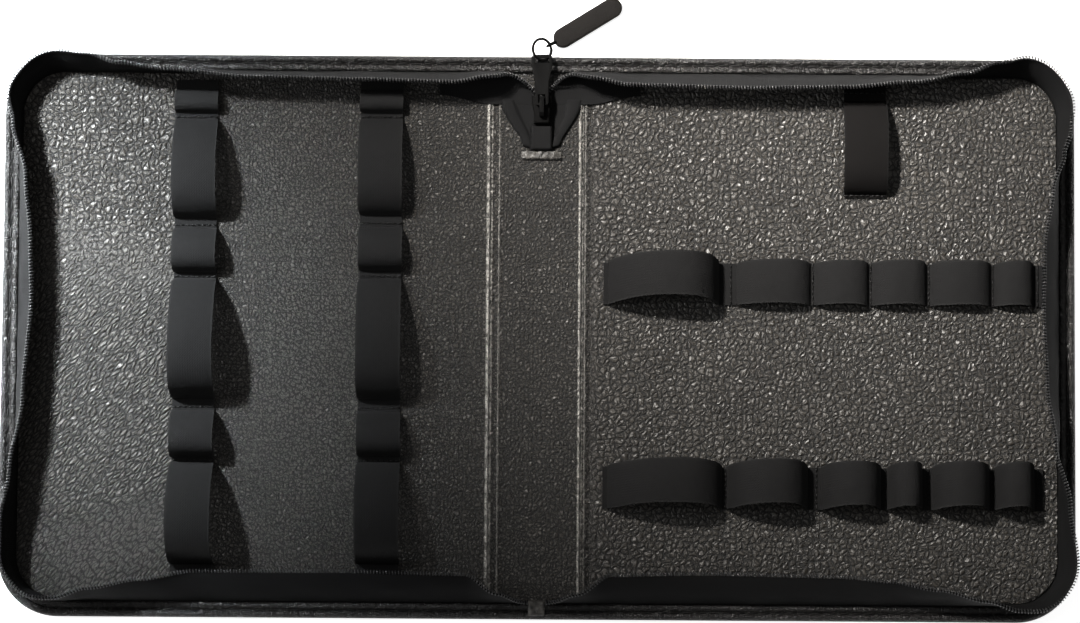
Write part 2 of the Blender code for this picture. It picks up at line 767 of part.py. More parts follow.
def make_pull(metal, rubber, ring_hold):
    """Ring through the puller's slot, the small eye on it, and the tab on the eye."""
    roll = Matrix.Rotation(math.radians(RING_ROLL), 3, "Y")
    centre = ring_hold + Vector((0.0, RING_RADIUS, 0.0))
    wire("pull_ring", circle(RING_RADIUS, roll, centre), RING_WIRE_RADIUS, metal, closed=True)
    aim = math.radians(TAB_ANGLE)
    held = centre + roll @ Vector((RING_RADIUS * math.cos(aim), RING_RADIUS * math.sin(aim), 0.0))
    heading = Vector((math.cos(aim), math.sin(aim), 0.0))
    upright = Matrix.Rotation(aim, 3, "Z") @ Matrix.Rotation(math.radians(90), 3, "X")
    eye = circle(EYE_RADIUS, upright, held)
    tab_start = held + heading * (EYE_RADIUS + EYE_WIRE_RADIUS + 2 * FIT_GAP)
    middle = tab_start + heading * TAB_LENGTH / 2
    end = TAB_WIDTH / 2

    def stadium(inset):
        radius = end - inset
        straight = TAB_LENGTH / 2 - end
        points = []
        for ahead, start_angle in ((1, -90), (-1, 90)):
            points += corner_arc((ahead * straight, 0.0), radius, start_angle, 180.0)
        return points

    tab = slab(
        "pull_tab",
        stadium,
        (
            (TAB_EDGE_ROUND, 0.0),
            (0.0, TAB_EDGE_ROUND),
            (0.0, TAB_THICKNESS - TAB_EDGE_ROUND),
            (TAB_EDGE_ROUND, TAB_THICKNESS),
        ),
        rubber,
        (middle.x, middle.y, 0.0),
    )
    tab.rotation_euler.z = aim
    reach = EYE_RADIUS * STEM_REACH
    stem_top = held + heading * reach - Vector((0.0, 0.0, reach))
    stem_end = Vector((tab_start.x, tab_start.y, TAB_THICKNESS * STEM_HEIGHT_SHARE)) - heading * FIT_GAP
    stem = wire("stem_joiner", [stem_top, stem_end], STEM_WIRE_RADIUS, metal)
    loop = wire("pull_eye", eye, EYE_WIRE_RADIUS, metal, closed=True)
    cut(loop, stem, "UNION")


def make_bands(elastic):
    panel_half_depth = COVER_DEPTH / 2 - PANEL_INSET
    column_length = 2 * (panel_half_depth - BAND_MARGIN)
    row_start = PANEL_INNER_EDGE + ROW_MARGIN
    row_length = COVER_LENGTH / 2 - PANEL_INSET - ROW_MARGIN - row_start
    down = Vector((0.0, -1.0, 0.0))
    along = Vector((1.0, 0.0, 0.0))
    top = panel_half_depth - BAND_MARGIN
    for name, loops, share in (
        ("band_left_outer", OUTER_COLUMN_LOOPS, OUTER_COLUMN_SHARE),
        ("band_left_inner", INNER_COLUMN_LOOPS, INNER_COLUMN_SHARE),
    ):
        band(name, loops, column_length, (share * COVER_LENGTH / 2, top, 0.0), down, elastic)
    for name, loops, share in (
        ("band_right_upper", UPPER_ROW_LOOPS, UPPER_ROW_SHARE),
        ("band_right_lower", LOWER_ROW_LOOPS, LOWER_ROW_SHARE),
    ):
        start = (row_start, share * COVER_DEPTH / 2, 0.0)
        band(name, loops, row_length, start, along, elastic, ROW_LOOP_LEAN)
    start = (STRAP_COLUMN_SHARE * COVER_LENGTH / 2, top, 0.0)
    band("strap_right", STRAP_LOOPS, STRAP_LENGTH, start, down, elastic)


def main():
    for piece in list(bpy.data.objects):
        bpy.data.objects.remove(piece)
    leather = material("leatherette", (0.045, 0.040, 0.035), 0.38)
    lining = material("grained_lining", (0.075, 0.068, 0.060), 0.36)
    tape_cloth = material("zip_tape_cloth", (0.013, 0.013, 0.014), 0.85)
    coil_plastic = material("coil_plastic", (0.030, 0.030, 0.032), 0.45)
    elastic = material("elastic", (0.026, 0.026, 0.028), 0.90)
    metal = material("black_metal", (0.018, 0.018, 0.018), 0.40, 0.8)
    rubber = material("tab_rubber", (0.050, 0.044, 0.042), 0.60)
    make_cover(leather, lining)
    make_zip(tape_cloth, coil_plastic)
    make_zip_ends(tape_cloth, leather)
    make_slider(metal)
    ring_hold = make_puller(metal)
    make_pull(metal, rubber, ring_hold)
    make_bands(elastic)


main()
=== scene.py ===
import math
from functools import partial

import bmesh
import bpy
from mathutils import Matrix, Vector, noise


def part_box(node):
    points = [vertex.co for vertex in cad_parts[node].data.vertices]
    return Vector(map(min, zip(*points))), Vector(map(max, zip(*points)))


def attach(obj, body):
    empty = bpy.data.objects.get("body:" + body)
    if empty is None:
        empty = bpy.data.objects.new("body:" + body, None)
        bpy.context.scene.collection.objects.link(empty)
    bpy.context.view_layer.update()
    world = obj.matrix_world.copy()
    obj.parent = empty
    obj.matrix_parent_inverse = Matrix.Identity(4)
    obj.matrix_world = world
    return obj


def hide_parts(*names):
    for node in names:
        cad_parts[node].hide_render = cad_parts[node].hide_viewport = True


# Open zip-round tool case: what its surfaces look like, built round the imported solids
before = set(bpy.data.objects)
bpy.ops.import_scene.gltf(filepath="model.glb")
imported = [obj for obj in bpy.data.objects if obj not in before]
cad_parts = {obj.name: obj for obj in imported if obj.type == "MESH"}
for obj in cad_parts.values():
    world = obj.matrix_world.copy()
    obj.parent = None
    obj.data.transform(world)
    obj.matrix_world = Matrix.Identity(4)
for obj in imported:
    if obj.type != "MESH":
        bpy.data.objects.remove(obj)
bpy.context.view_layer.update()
mm = 0.001

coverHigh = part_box("cover_skin")[1]
panelLow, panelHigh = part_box("panel_right")
case = {
    "halfLength": coverHigh.x,
    "halfDepth": coverHigh.y,
    "cornerRadius": 27 * mm,
    "rimWidth": 7 * mm,
    "skinThickness": 1.6 * mm,
    "fitGap": 0.3 * mm,
    "panelBase": panelLow.z,
    "panelTop": panelHigh.z,
    "panelInset": coverHigh.x - panelHigh.x,
    "spineHalf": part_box("spine_strip")[1].x,
}
panelEdge = case["halfDepth"] - case["panelInset"]


# Nodes, for shaders and for Geometry Nodes alike
def isLink(value):
    return isinstance(value, bpy.types.NodeSocket)


def feed(inputs, values):  # each value is an output, a node whose first output is meant, or a constant
    for key, value in values.items():
        if isinstance(value, bpy.types.Node):
            value = value.outputs[0]
        if isLink(value):
            value.id_data.links.new(value, inputs[key])
        else:
            inputs[key].default_value = value


def addNode(tree, kind, given=None, **settings):
    node = tree.nodes.new(kind)
    for key, value in settings.items():
        setattr(node, key, value)
    feed(node.inputs, given or {})
    return node


def made(kind, *given, **settings):  # outputs of a node in the same tree as what feeds it
    tree = next(value.id_data for value in given if isLink(value))
    return addNode(tree, kind, dict(enumerate(given)), **settings).outputs


def calc(operation, first, second=0.0):
    return made("ShaderNodeMath", first, second, operation=operation)[0]


plus, minus, times, over = (partial(calc, sign) for sign in ("ADD", "SUBTRACT", "MULTIPLY", "DIVIDE"))


def vectorCalc(operation, first, second):
    return made("ShaderNodeVectorMath", first, second, operation=operation)[0]


def scaled(vector, factor):
    tree = factor.id_data
    return addNode(tree, "ShaderNodeVectorMath", {0: vector, "Scale": factor}, operation="SCALE").outputs[0]


def split(vector):
    return made("ShaderNodeSeparateXYZ", vector)


def joined(x=0.0, y=0.0, z=0.0):
    return made("ShaderNodeCombineXYZ", x, y, z)[0]


def cloud(vector, scale, detail):
    return addNode(vector.id_data, "ShaderNodeTexNoise", {
        "Vector": vector, "Scale": scale, "Detail": detail,
    }).outputs


def ranged(value, low, high, start=0.0, end=1.0):
    return made("ShaderNodeMapRange", value, low, high, start, end, interpolation_type="SMOOTHSTEP")[0]


def mixed(share, first, second):
    return addNode(share.id_data, "ShaderNodeMix", {0: share, 2: first, 3: second},
                   data_type="FLOAT").outputs[0]


def mixedColour(share, first, second):
    first, second = (value if isLink(value) else (*value, 1.0) for value in (first, second))
    return addNode(share.id_data, "ShaderNodeMix", {0: share, 6: first, 7: second},
                   data_type="RGBA").outputs[2]


# Inputs and outputs hold, for each label, a number or the kind of socket
def newTree(kind, name, inputs, outputs):
    tree = bpy.data.node_groups.new(name, kind)
    for way, sockets in (("INPUT", inputs), ("OUTPUT", outputs)):
        for label, value in sockets.items():
            isKind = isinstance(value, str)
            socketKind = "NodeSocket" + (value if isKind else type(value).__name__.capitalize())
            socket = tree.interface.new_socket(label, in_out=way, socket_type=socketKind)
            if not isKind:
                socket.default_value = value
    return tree, addNode(tree, "NodeGroupInput").outputs


def groupIn(group, vector, settings):
    tree = vector.id_data
    kind = tree.bl_idname.replace("Tree", "Group")
    return addNode(tree, kind, {"Vector": vector, **settings}, node_tree=group).outputs


# Leather grain: flat-topped pebbles with sunk creases between them, some of which fade out
pebbles = {"Cell Size": 3.0 * mm, "Warp": 0.8, "Crease": 0.15, "Crown": 0.25, "Fading": 0.6,
           "Splits": 0.6, "Roll": 0.5}
grainOutputs = {"Height": 0.0, "Crease Mask": 0.0}


def makeGrain(kind, name, dimensions):
    group, given = newTree(kind, name, {"Vector": "Vector", **pebbles}, grainOutputs)
    place = scaled(given["Vector"], over(1.0, given["Cell Size"]))
    drift = cloud(place, 0.8, 2.0)
    push = scaled(vectorCalc("SUBTRACT", drift["Color"], (0.5, 0.5, 0.5)), given["Warp"])
    warped = vectorCalc("ADD", place, push)
    faded = minus(1.0, given["Fading"])
    valleys, edges = [], []
    for scale, offset in ((1.0, 0.0), (1.45, 37.0)):
        spot = vectorCalc("ADD", warped, (offset, offset, 0.0))
        edge = addNode(group, "ShaderNodeTexVoronoi", {"Vector": spot, "Scale": scale, "Randomness": 0.92},
                       feature="DISTANCE_TO_EDGE", voronoi_dimensions=dimensions).outputs["Distance"]
        kept = ranged(cloud(spot, 1.1 * scale, 0.0)["Fac"], 0.36, 0.54, faded, 1.0)
        reach = times(given["Crease"], plus(0.45, times(kept, 0.55)))
        valleys.append(times(ranged(edge, 0.0, reach, 1.0, 0.0), kept))
        edges.append(edge)
    depth = calc("MAXIMUM", valleys[0], times(valleys[1], given["Splits"]))
    crown = times(ranged(edges[0], 0.0, 0.4, 1.0, 0.0), given["Crown"])
    tilt = times(minus(drift["Fac"], 0.5), given["Roll"])  # no two pebbles face quite the same way
    height = minus(1.0, plus(plus(depth, crown), tilt))
    addNode(group, "NodeGroupOutput", {"Height": height, "Crease Mask": ranged(depth, 0.08, 0.6)})
    return group


flatGrain = makeGrain("ShaderNodeTree", "flatGrain", "2D")
roundGrain = makeGrain("ShaderNodeTree", "roundGrain", "3D")
reliefGrain = makeGrain("GeometryNodeTree", "reliefGrain", "2D")

# The lining's grain is coarse on the right, drawn out in slanting wrinkles at the
# lower left, and fine towards the spine
liningGrain = {
    "coarse": {"Cell Size": 2.7 * mm, "Warp": 1.4, "Crease": 0.20, "Crown": 0.7, "Fading": 0.45,
               "Splits": 0.55, "Roll": 1.6},
    "wrinkled": {"Cell Size": 1.6 * mm, "Warp": 1.2, "Crease": 0.26, "Crown": 0.9, "Fading": 0.4,
                 "Splits": 0.5, "Roll": 2.0},
    "fine": {"Cell Size": 1.95 * mm, "Warp": 1.3, "Crease": 0.26, "Crown": 0.9, "Fading": 0.6,
             "Splits": 0.9, "Roll": 1.2},
    "wrinkleTurn": math.radians(-47),
    "wrinkleStretch": (0.40, 1.0, 1.0),
    "wrinkleX": (-100 * mm, -60 * mm),
    "wrinkleY": (10 * mm, 55 * mm),
    "fineX": (-160 * mm, -140 * mm),
    "coarseX": (22 * mm, 27 * mm),
    "wander": 60 * mm,
    "wanderScale": 26.0,
}


def liningPattern(vector, grain):
    x, y, z = split(vector)
    flat = joined(x, y)
    turned = addNode(vector.id_data, "ShaderNodeVectorRotate", {
        "Vector": flat, "Angle": liningGrain["wrinkleTurn"],
    }, rotation_type="Z_AXIS").outputs[0]
    drawn = vectorCalc("MULTIPLY", turned, liningGrain["wrinkleStretch"])
    shift = times(minus(cloud(flat, liningGrain["wanderScale"], 2.0)["Fac"], 0.5), liningGrain["wander"])
    isLeft = ranged(plus(x, shift), *liningGrain["wrinkleX"], 1.0, 0.0)
    wrinkleShare = times(isLeft, ranged(plus(y, shift), *liningGrain["wrinkleY"], 1.0, 0.0))
    fineShare = times(ranged(plus(x, shift), *liningGrain["fineX"]),
                      ranged(x, *liningGrain["coarseX"], 1.0, 0.0))
    coarse, wrinkled, fine = (groupIn(grain, place, liningGrain[kind]) for kind, place in (
        ("coarse", flat), ("wrinkled", drawn), ("fine", flat),
    ))
    height, crease = (
        mixed(fineShare, mixed(wrinkleShare, coarse[label], wrinkled[label]), fine[label])
        for label in grainOutputs
    )
    return height, crease, fineShare


# Woven cloth: threads along and across a piece's own UV map, which is in metres
def makeWeave():
    group, given = newTree("ShaderNodeTree", "weave", {
        "Vector": "Vector", "Rib Pitch": 0.8 * mm, "Pick Pitch": 0.5 * mm, "Slant": 0.0, "Fuzz": 0.3,
    }, {"Height": 0.0, "Tone": 0.0})
    x, y, z = split(given["Vector"])
    along = plus(x, times(y, given["Slant"]))
    rib, pick = (calc("SINE", times(over(way, given[pitch]), 2 * math.pi)) for way, pitch in (
        (y, "Rib Pitch"), (along, "Pick Pitch"),
    ))
    fluff = cloud(given["Vector"], 2600.0, 3.0)["Fac"]
    blotch = cloud(given["Vector"], 420.0, 4.0)["Fac"]
    woven = plus(plus(times(times(rib, pick), 0.2), 0.5), times(rib, 0.06))
    addNode(group, "NodeGroupOutput", {
        "Height": plus(woven, times(fluff, given["Fuzz"])), "Tone": times(plus(fluff, blotch), 0.5),
    })
    return group


# Handling: broad patches where a surface is duller or shinier, and fine specks
def makeHandling():
    group, given = newTree("ShaderNodeTree", "handling", {
        "Vector": "Vector", "Patch Size": 30 * mm, "Speck Size": 0.8 * mm,
    }, {"Patch": 0.0, "Speck": 0.0})
    clouds = {}
    for label, detail in (("Patch", 4.0), ("Speck", 1.0)):
        place = scaled(given["Vector"], over(1.0, given[label + " Size"]))
        clouds[label] = ranged(cloud(place, 1.0, detail)["Fac"], 0.3, 0.7)
    addNode(group, "NodeGroupOutput", clouds)
    return group


weave = makeWeave()
handling = makeHandling()


def newFinish(name):
    finish = bpy.data.materials.new(name)
    finish.use_nodes = True
    return finish, finish.node_tree, finish.node_tree.nodes["Principled BSDF"].inputs


def bump(height, distance, under=None):
    node = addNode(height.id_data, "ShaderNodeBump", {"Height": height, "Distance": distance})
    if under is not None:
        feed(node.inputs, {"Normal": under})
    return node.outputs["Normal"]


# Painted highlights on the beads along the creases by the spine: middle and half width in millimetres, and
# strength. They are broken up by a cloud that leaves the highlight at its least or at its full
paintedBeadHighlights = ((-22.3, 1.7, 0.85), (-17.8, 0.6, 0.5), (18.7, 1.3, 0.7), (20.9, 0.6, 0.35))
beadHighlightBreaks = {"scale": 420.0, "from": 0.36, "to": 0.56, "least": 0.25}


def beadMask(vector):
    x = split(vector)[0]
    total = 0.0
    for middle, half, strength in paintedBeadHighlights:
        away = calc("ABSOLUTE", minus(x, middle * mm))
        total = plus(ranged(away, half * 0.5 * mm, half * mm, strength, 0.0), total)
    breaks = cloud(vector, beadHighlightBreaks["scale"], 2.0)["Fac"]
    return times(total, ranged(breaks, beadHighlightBreaks["from"], beadHighlightBreaks["to"], beadHighlightBreaks["least"], 1.0))


skinGrain = {"Cell Size": 1.9 * mm, "Warp": 1.2, "Crease": 0.24, "Crown": 0.4, "Fading": 0.6, "Splits": 0.7}
leatherLooks = {
    "grainedLining": {
        "pattern": lambda vector: liningPattern(vector, flatGrain)[:2],
        "wear": {"Patch Size": 26 * mm, "Speck Size": 0.9 * mm},
        "tops": ((0.025, 0.0208, 0.0158), (0.037, 0.0315, 0.0245)),
        # creases: colour of painted shade in the sunk creases between the pebbles
        "creases": (0.002, 0.0018, 0.0015), "creaseShadeShare": 0.95, "beadHighlightColour": (0.52, 0.50, 0.465),
        "roughness": (0.44, 0.54), "creaseRoughness": 0.95,
        "relief": 0.52 * mm, "speckRelief": 0.04 * mm, "specular": 1.0,
    },
    "leatherette": {
        "pattern": lambda vector: groupIn(roundGrain, vector, skinGrain),
        "wear": {"Patch Size": 9 * mm, "Speck Size": 0.7 * mm},
        "tops": ((0.008, 0.007, 0.007), (0.015, 0.0135, 0.0125)),
        # creases: colour of painted shade in the sunk creases
        "creases": (0.003, 0.0025, 0.0025), "creaseShadeShare": 0.8, "beadHighlightColour": None,
        "roughness": (0.50, 0.34), "creaseRoughness": None,
        "relief": 0.30 * mm, "speckRelief": 0.05 * mm, "specular": 0.6,
    },
}


def makeLeatherFinish(name, look):
    finish, tree, shader = newFinish(name)
    vector = addNode(tree, "ShaderNodeTexCoord").outputs["Object"]
    height, crease = look["pattern"](vector)
    wear = groupIn(handling, vector, look["wear"])
    top = mixedColour(wear["Patch"], *look["tops"])
    # painted shade: the crease mask darkens the creases towards the creases colour
    shade = mixedColour(times(crease, look["creaseShadeShare"]), top, look["creases"])
    if look["beadHighlightColour"]:
        # painted highlight: pale colour laid along the crease beads
        shade = mixedColour(beadMask(vector), shade, look["beadHighlightColour"])
    roughness = mixed(wear["Patch"], *look["roughness"])
    if look["creaseRoughness"]:  # only the tops are polished
        roughness = mixed(crease, roughness, look["creaseRoughness"])
    feed(shader, {
        "Base Color": shade, "Roughness": roughness, "Specular IOR Level": look["specular"],
        "Normal": bump(height, look["relief"], bump(wear["Speck"], look["speckRelief"])),
    })
    return finish


# selvedge: half width of the cloth up to its lighter border
clothLooks = {
    "elastic": {
        "weave": {"Rib Pitch": 1.1 * mm, "Pick Pitch": 0.7 * mm, "Slant": 0.0, "Fuzz": 0.5},
        "shades": ((0.001, 0.001, 0.001), (0.016, 0.0157, 0.016)), "border": (0.013, 0.013, 0.013),
        "selvedge": 8.8 * mm, "relief": 0.22 * mm, "sheen": 0.02, "specular": 0.15,
    },
    "strapCloth": {
        "weave": {"Rib Pitch": 0.9 * mm, "Pick Pitch": 0.6 * mm, "Slant": 0.0, "Fuzz": 0.6},
        "shades": ((0.002, 0.0018, 0.0018), (0.007, 0.0062, 0.006)), "border": (0.006, 0.006, 0.006),
        "selvedge": 8.9 * mm, "relief": 0.10 * mm, "sheen": 0.0, "specular": 0.1,
    },
    "zipTapeCloth": {
        "weave": {"Rib Pitch": 0.9 * mm, "Pick Pitch": 0.9 * mm, "Slant": 1.0, "Fuzz": 0.4},
        "shades": ((0.0025, 0.0025, 0.0025), (0.009, 0.009, 0.0095)), "border": None,
        "selvedge": 0.0, "relief": 0.12 * mm, "sheen": 0.0, "specular": 0.15,
    },
}


def makeClothFinish(name, look):
    finish, tree, shader = newFinish(name)
    place = addNode(tree, "ShaderNodeUVMap", uv_map="cloth").outputs[0]
    woven = groupIn(weave, place, look["weave"])
    shade = mixedColour(woven["Tone"], *look["shades"])
    if look["border"]:
        across = calc("ABSOLUTE", split(place)[1])
        border = ranged(across, look["selvedge"], look["selvedge"] + 0.5 * mm)
        shade = mixedColour(times(border, 0.8), shade, look["border"])
    feed(shader, {
        "Base Color": shade, "Roughness": ranged(woven["Tone"], 0.0, 1.0, 0.72, 0.92),
        "Normal": bump(woven["Height"], look["relief"]), "Specular IOR Level": look["specular"],
        "Sheen Weight": look["sheen"], "Sheen Roughness": 0.5,
    })
    return finish


# Two shades with the roughness of each, the size of patches, the size and relief of
# specks in millimetres, and the specular level
hardLooks = {
    "coilPlastic": ((0.014, 0.014, 0.015), (0.030, 0.030, 0.031), (0.28, 0.40), 12, 0.5, 0.02, 0.5),
    "thread": ((0.002, 0.002, 0.002), (0.010, 0.0098, 0.0095), (0.45, 0.60), 3, 0.3, 0.04, 0.2),
    # pale thread for the crease beads, lighter to carry their painted highlight
    "paleBeadHighlightThread": ((0.035, 0.033, 0.030), (0.16, 0.152, 0.14), (0.40, 0.55), 2, 0.3, 0.04, 0.5),
    # its light patches are partly wear and partly painted highlight on the bar and the tab
    "rubbedAndHighlitLeather": ((0.009, 0.008, 0.007), (0.085, 0.08, 0.073), (0.50, 0.32), 3, 0.6, 0.14, 0.6),
    "blackMetal": ((0.0015, 0.0015, 0.0015), (0.003, 0.0029, 0.0029), (0.60, 0.72), 4, 0.35, 0.02, 0.06),
    "tabRubber": ((0.007, 0.0062, 0.0056), (0.011, 0.0098, 0.009), (0.60, 0.72), 14, 0.5, 0.05, 0.1),
}


def makeHardFinish(name, look):
    dark, light, roughness, patch, speck, relief, specular = look
    finish, tree, shader = newFinish(name)
    vector = addNode(tree, "ShaderNodeTexCoord").outputs["Object"]
    wear = groupIn(handling, vector, {"Patch Size": patch * mm, "Speck Size": speck * mm})
    feed(shader, {
        "Base Color": mixedColour(wear["Patch"], dark, light), "Specular IOR Level": specular,
        "Roughness": mixed(wear["Patch"], *roughness), "Normal": bump(wear["Speck"], relief * mm),
    })
    return finish


finishes = {
    name: makeFinish(name, look)
    for makeFinish, looks in (
        (makeLeatherFinish, leatherLooks), (makeClothFinish, clothLooks), (makeHardFinish, hardLooks),
    )
    for name, look in looks.items()
}
print("finishes made")


# Meshes
def addObject(name, data):
    thing = bpy.data.objects.new(name, data)
    bpy.context.collection.objects.link(thing)
    return thing


def pieceFrom(name, points, faces, finish=None, uvs=None, sharp=0, turnOut=True):
    mesh = bpy.data.meshes.new(name)
    mesh.from_pydata([tuple(point) for point in points], [], faces)
    if turnOut:
        form = bmesh.new()
        form.from_mesh(mesh)
        bmesh.ops.recalc_face_normals(form, faces=form.faces)
        form.to_mesh(mesh)
        form.free()
    if uvs is not None:
        layer = mesh.uv_layers.new(name="cloth")
        for loop in mesh.loops:
            layer.data[loop.index].uv = uvs[loop.vertex_index]
    if finish:
        mesh.materials.append(finishes[finish])
    mesh.shade_smooth()
    if sharp:
        mesh.set_sharp_from_angle(angle=math.radians(sharp))
    return addObject(name, mesh)


def finishPiece(piece, slot, *replaced):
    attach(piece, "root")
    if replaced:
        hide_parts(*replaced)
    print(piece.name, len(piece.data.polygons), "faces")


def stackFaces(count, levels):  # side faces and two caps of a form through rings
    faces = []
    for level in range(levels - 1):
        low, high = level * count, (level + 1) * count
        for index in range(count):
            after = (index + 1) % count
            faces.append((low + index, low + after, high + after, high + index))
    return [*faces, tuple(range(count)), tuple(range((levels - 1) * count, levels * count))]


def gridFaces(rows, columns):
    corners = [row * columns + column for row in range(rows - 1) for column in range(columns - 1)]
    return [(corner, corner + 1, corner + columns + 1, corner + columns) for corner in corners]


def gridBorder(rows, columns):
    border = list(range(columns))
    border += [row * columns + columns - 1 for row in range(1, rows)]
    border += [(rows - 1) * columns + column for column in range(columns - 2, -1, -1)]
    return border + [row * columns for row in range(rows - 2, 0, -1)]


def closedFaces(rows, columns):  # a grid, its twin behind it, and the wall round both
    total = rows * columns
    front = gridFaces(rows, columns)
    back = [tuple(total + index for index in reversed(face)) for face in front]
    border = gridBorder(rows, columns)
    wall = [(start, end, total + end, total + start) for start, end in zip(border, border[1:] + border[:1])]
    return front + back + wall


# A closed wall about a grid of middle points. The map "cloth" runs in metres,
# along the rows and out from the middle of the columns
def sheetPiece(name, grid, thickness, finish):
    rows, columns = len(grid), len(grid[0])
    front, back, uvs = [], [], []
    along = 0.0
    for i, row in enumerate(grid):
        before, after = grid[max(i - 1, 0)], grid[min(i + 1, rows - 1)]
        if i:
            along += (row[columns // 2] - before[columns // 2]).length
        steps = [(end - start).length for start, end in zip(row, row[1:])]
        for j, point in enumerate(row):
            across = row[min(j + 1, columns - 1)] - row[max(j - 1, 0)]
            out = (after[j] - before[j]).cross(across).normalized() * thickness / 2
            front.append(point + out)
            back.append(point - out)
            uvs.append((along, sum(steps[:j]) - sum(steps) / 2))
    return pieceFrom(name, front + back, closedFaces(rows, columns), finish, uvs + uvs, 60)


def up(height):
    return Vector((0.0, 0.0, height))


def direction(angle):
    return Vector((math.cos(angle), math.sin(angle), 0.0))


def clamped(value):
    return min(max(value, 0.0), 1.0)


def eased(value):
    value = clamped(value)
    return value * value * (3 - 2 * value)


def readTable(rows, at, column=1):  # eased from row to row, by the place in the first column
    for before, after in zip(rows, rows[1:]):
        if at <= after[0]:
            share = eased((at - before[0]) / (after[0] - before[0]))
            return before[column] + (after[column] - before[column]) * share
    return rows[-1][column]


def growMesh(source, tree, values):  # runs a node tree on an object and keeps its plain mesh
    change = source.modifiers.new(tree.name, "NODES")
    change.node_group = tree
    for item in tree.interface.items_tree:
        if item.item_type == "SOCKET" and item.in_out == "INPUT" and item.name in values:
            change[item.identifier] = values[item.name]
    graph = bpy.context.evaluated_depsgraph_get()
    mesh = bpy.data.meshes.new_from_object(source.evaluated_get(graph))
    name = source.name
    bpy.data.objects.remove(source)
    mesh.name = name
    return addObject(name, mesh)


def endTree(tree, geometry, finish):
    real = addNode(tree, "GeometryNodeRealizeInstances", {0: geometry})
    smooth = addNode(tree, "GeometryNodeSetShadeSmooth", {0: real})
    dressed = addNode(tree, "GeometryNodeSetMaterial", {"Geometry": smooth, "Material": finish})
    addNode(tree, "NodeGroupOutput", {0: dressed})


# Shapes along paths: the path's corners carry "facing", the way their stitches look
def pathTree(name, sizes):
    return newTree("GeometryNodeTree", name, {
        "Geometry": "Geometry", "Pitch": 2.4 * mm, "Tilt": 0.08, "Seed": 3, "Finish": "Material", **sizes,
    }, {"Geometry": "Geometry"})


def alongPath(tree, given, shape):
    path = addNode(tree, "GeometryNodeMeshToCurve", {0: given["Geometry"]})
    spaced = addNode(tree, "GeometryNodeResampleCurve", {"Curve": path, "Length": given["Pitch"]},
                     mode="LENGTH")
    tangent = addNode(tree, "GeometryNodeInputTangent")
    facing = addNode(tree, "GeometryNodeInputNamedAttribute", {"Name": "facing"}, data_type="FLOAT_VECTOR")
    turn = addNode(tree, "FunctionNodeAlignRotationToVector", {"Vector": tangent}, axis="X")
    turn = addNode(tree, "FunctionNodeAlignRotationToVector", {"Rotation": turn, "Vector": facing},
                   axis="Z", pivot_axis="X")
    low, high = (scaled((sign, sign, sign), given["Tilt"]) for sign in (-1.0, 1.0))
    tilt = addNode(tree, "FunctionNodeRandomValue", {0: low, 1: high, "Seed": given["Seed"]},
                   data_type="FLOAT_VECTOR")
    swung = addNode(tree, "FunctionNodeEulerToRotation", {0: tilt})
    turn = addNode(tree, "FunctionNodeRotateRotation", {0: turn, 1: swung}, rotation_space="LOCAL")
    placed = addNode(tree, "GeometryNodeInstanceOnPoints", {
        "Points": spaced, "Instance": shape, "Rotation": turn,
    })
    endTree(tree, placed, given["Finish"])


def wireAlong(tree, line, sides, radius):
    ring = addNode(tree, "GeometryNodeCurvePrimitiveCircle", {"Resolution": sides, "Radius": radius})
    return addNode(tree, "GeometryNodeCurveToMesh", {"Curve": line, "Profile Curve": ring, "Fill Caps": True})


def makeStitchTree():
    tree, given = pathTree("stitches", {"Length": 1.8 * mm, "Thickness": 0.5 * mm})
    half = times(given["Length"], 0.5)
    line = addNode(tree, "GeometryNodeCurvePrimitiveLine", {
        "Start": joined(times(half, -1.0)), "End": joined(half),
    })
    line = addNode(tree, "GeometryNodeResampleCurve", {"Curve": line, "Count": 6})
    along = addNode(tree, "GeometryNodeSplineParameter").outputs["Factor"]
    bow = calc("SINE", times(along, math.pi))
    lift = times(times(bow, given["Thickness"]), 0.45)
    line = addNode(tree, "GeometryNodeSetPosition", {"Geometry": line, "Offset": joined(z=lift)})
    girth = plus(0.35, times(calc("POWER", bow, 0.5), 0.65))
    line = addNode(tree, "GeometryNodeSetCurveRadius", {"Curve": line, "Radius": girth})
    alongPath(tree, given, wireAlong(tree, line, 6, times(given["Thickness"], 0.5)))
    return tree


def makeToothTree():
    tree, given = pathTree("coilTeeth", {"Loop Radius": 1.0 * mm, "Wire Radius": 0.36 * mm, "Lean": 0.25})
    arc = addNode(tree, "GeometryNodeCurveArc", {
        "Resolution": 7, "Radius": given["Loop Radius"],
        "Start Angle": math.radians(-35), "Sweep Angle": math.radians(250),
    })
    quarter = math.radians(90)
    stand = addNode(tree, "FunctionNodeEulerToRotation", {0: (quarter, 0.0, quarter)})
    arc = addNode(tree, "GeometryNodeTransform", {"Geometry": arc, "Rotation": stand})
    tooth = wireAlong(tree, arc, 5, given["Wire Radius"])
    lean = addNode(tree, "FunctionNodeEulerToRotation", {0: joined(z=given["Lean"])})
    alongPath(tree, given, addNode(tree, "GeometryNodeTransform", {"Geometry": tooth, "Rotation": lean}))
    return tree


stitchTree = makeStitchTree()
toothTree = makeToothTree()


# Each line is (points, facings, closed)
def pathObject(name, lines):
    points, edges, facings = [], [], []
    for line, facing, closed in lines:
        first = len(points)
        points += [tuple(point) for point in line]
        facings += facing
        edges += [(first + index, first + index + 1) for index in range(len(line) - 1)]
        if closed:
            edges.append((len(points) - 1, first))
    mesh = bpy.data.meshes.new(name)
    mesh.from_pydata(points, edges, [])
    layer = mesh.attributes.new("facing", "FLOAT_VECTOR", "POINT")
    layer.data.foreach_set("vector", [value for facing in facings for value in facing])
    return addObject(name, mesh)


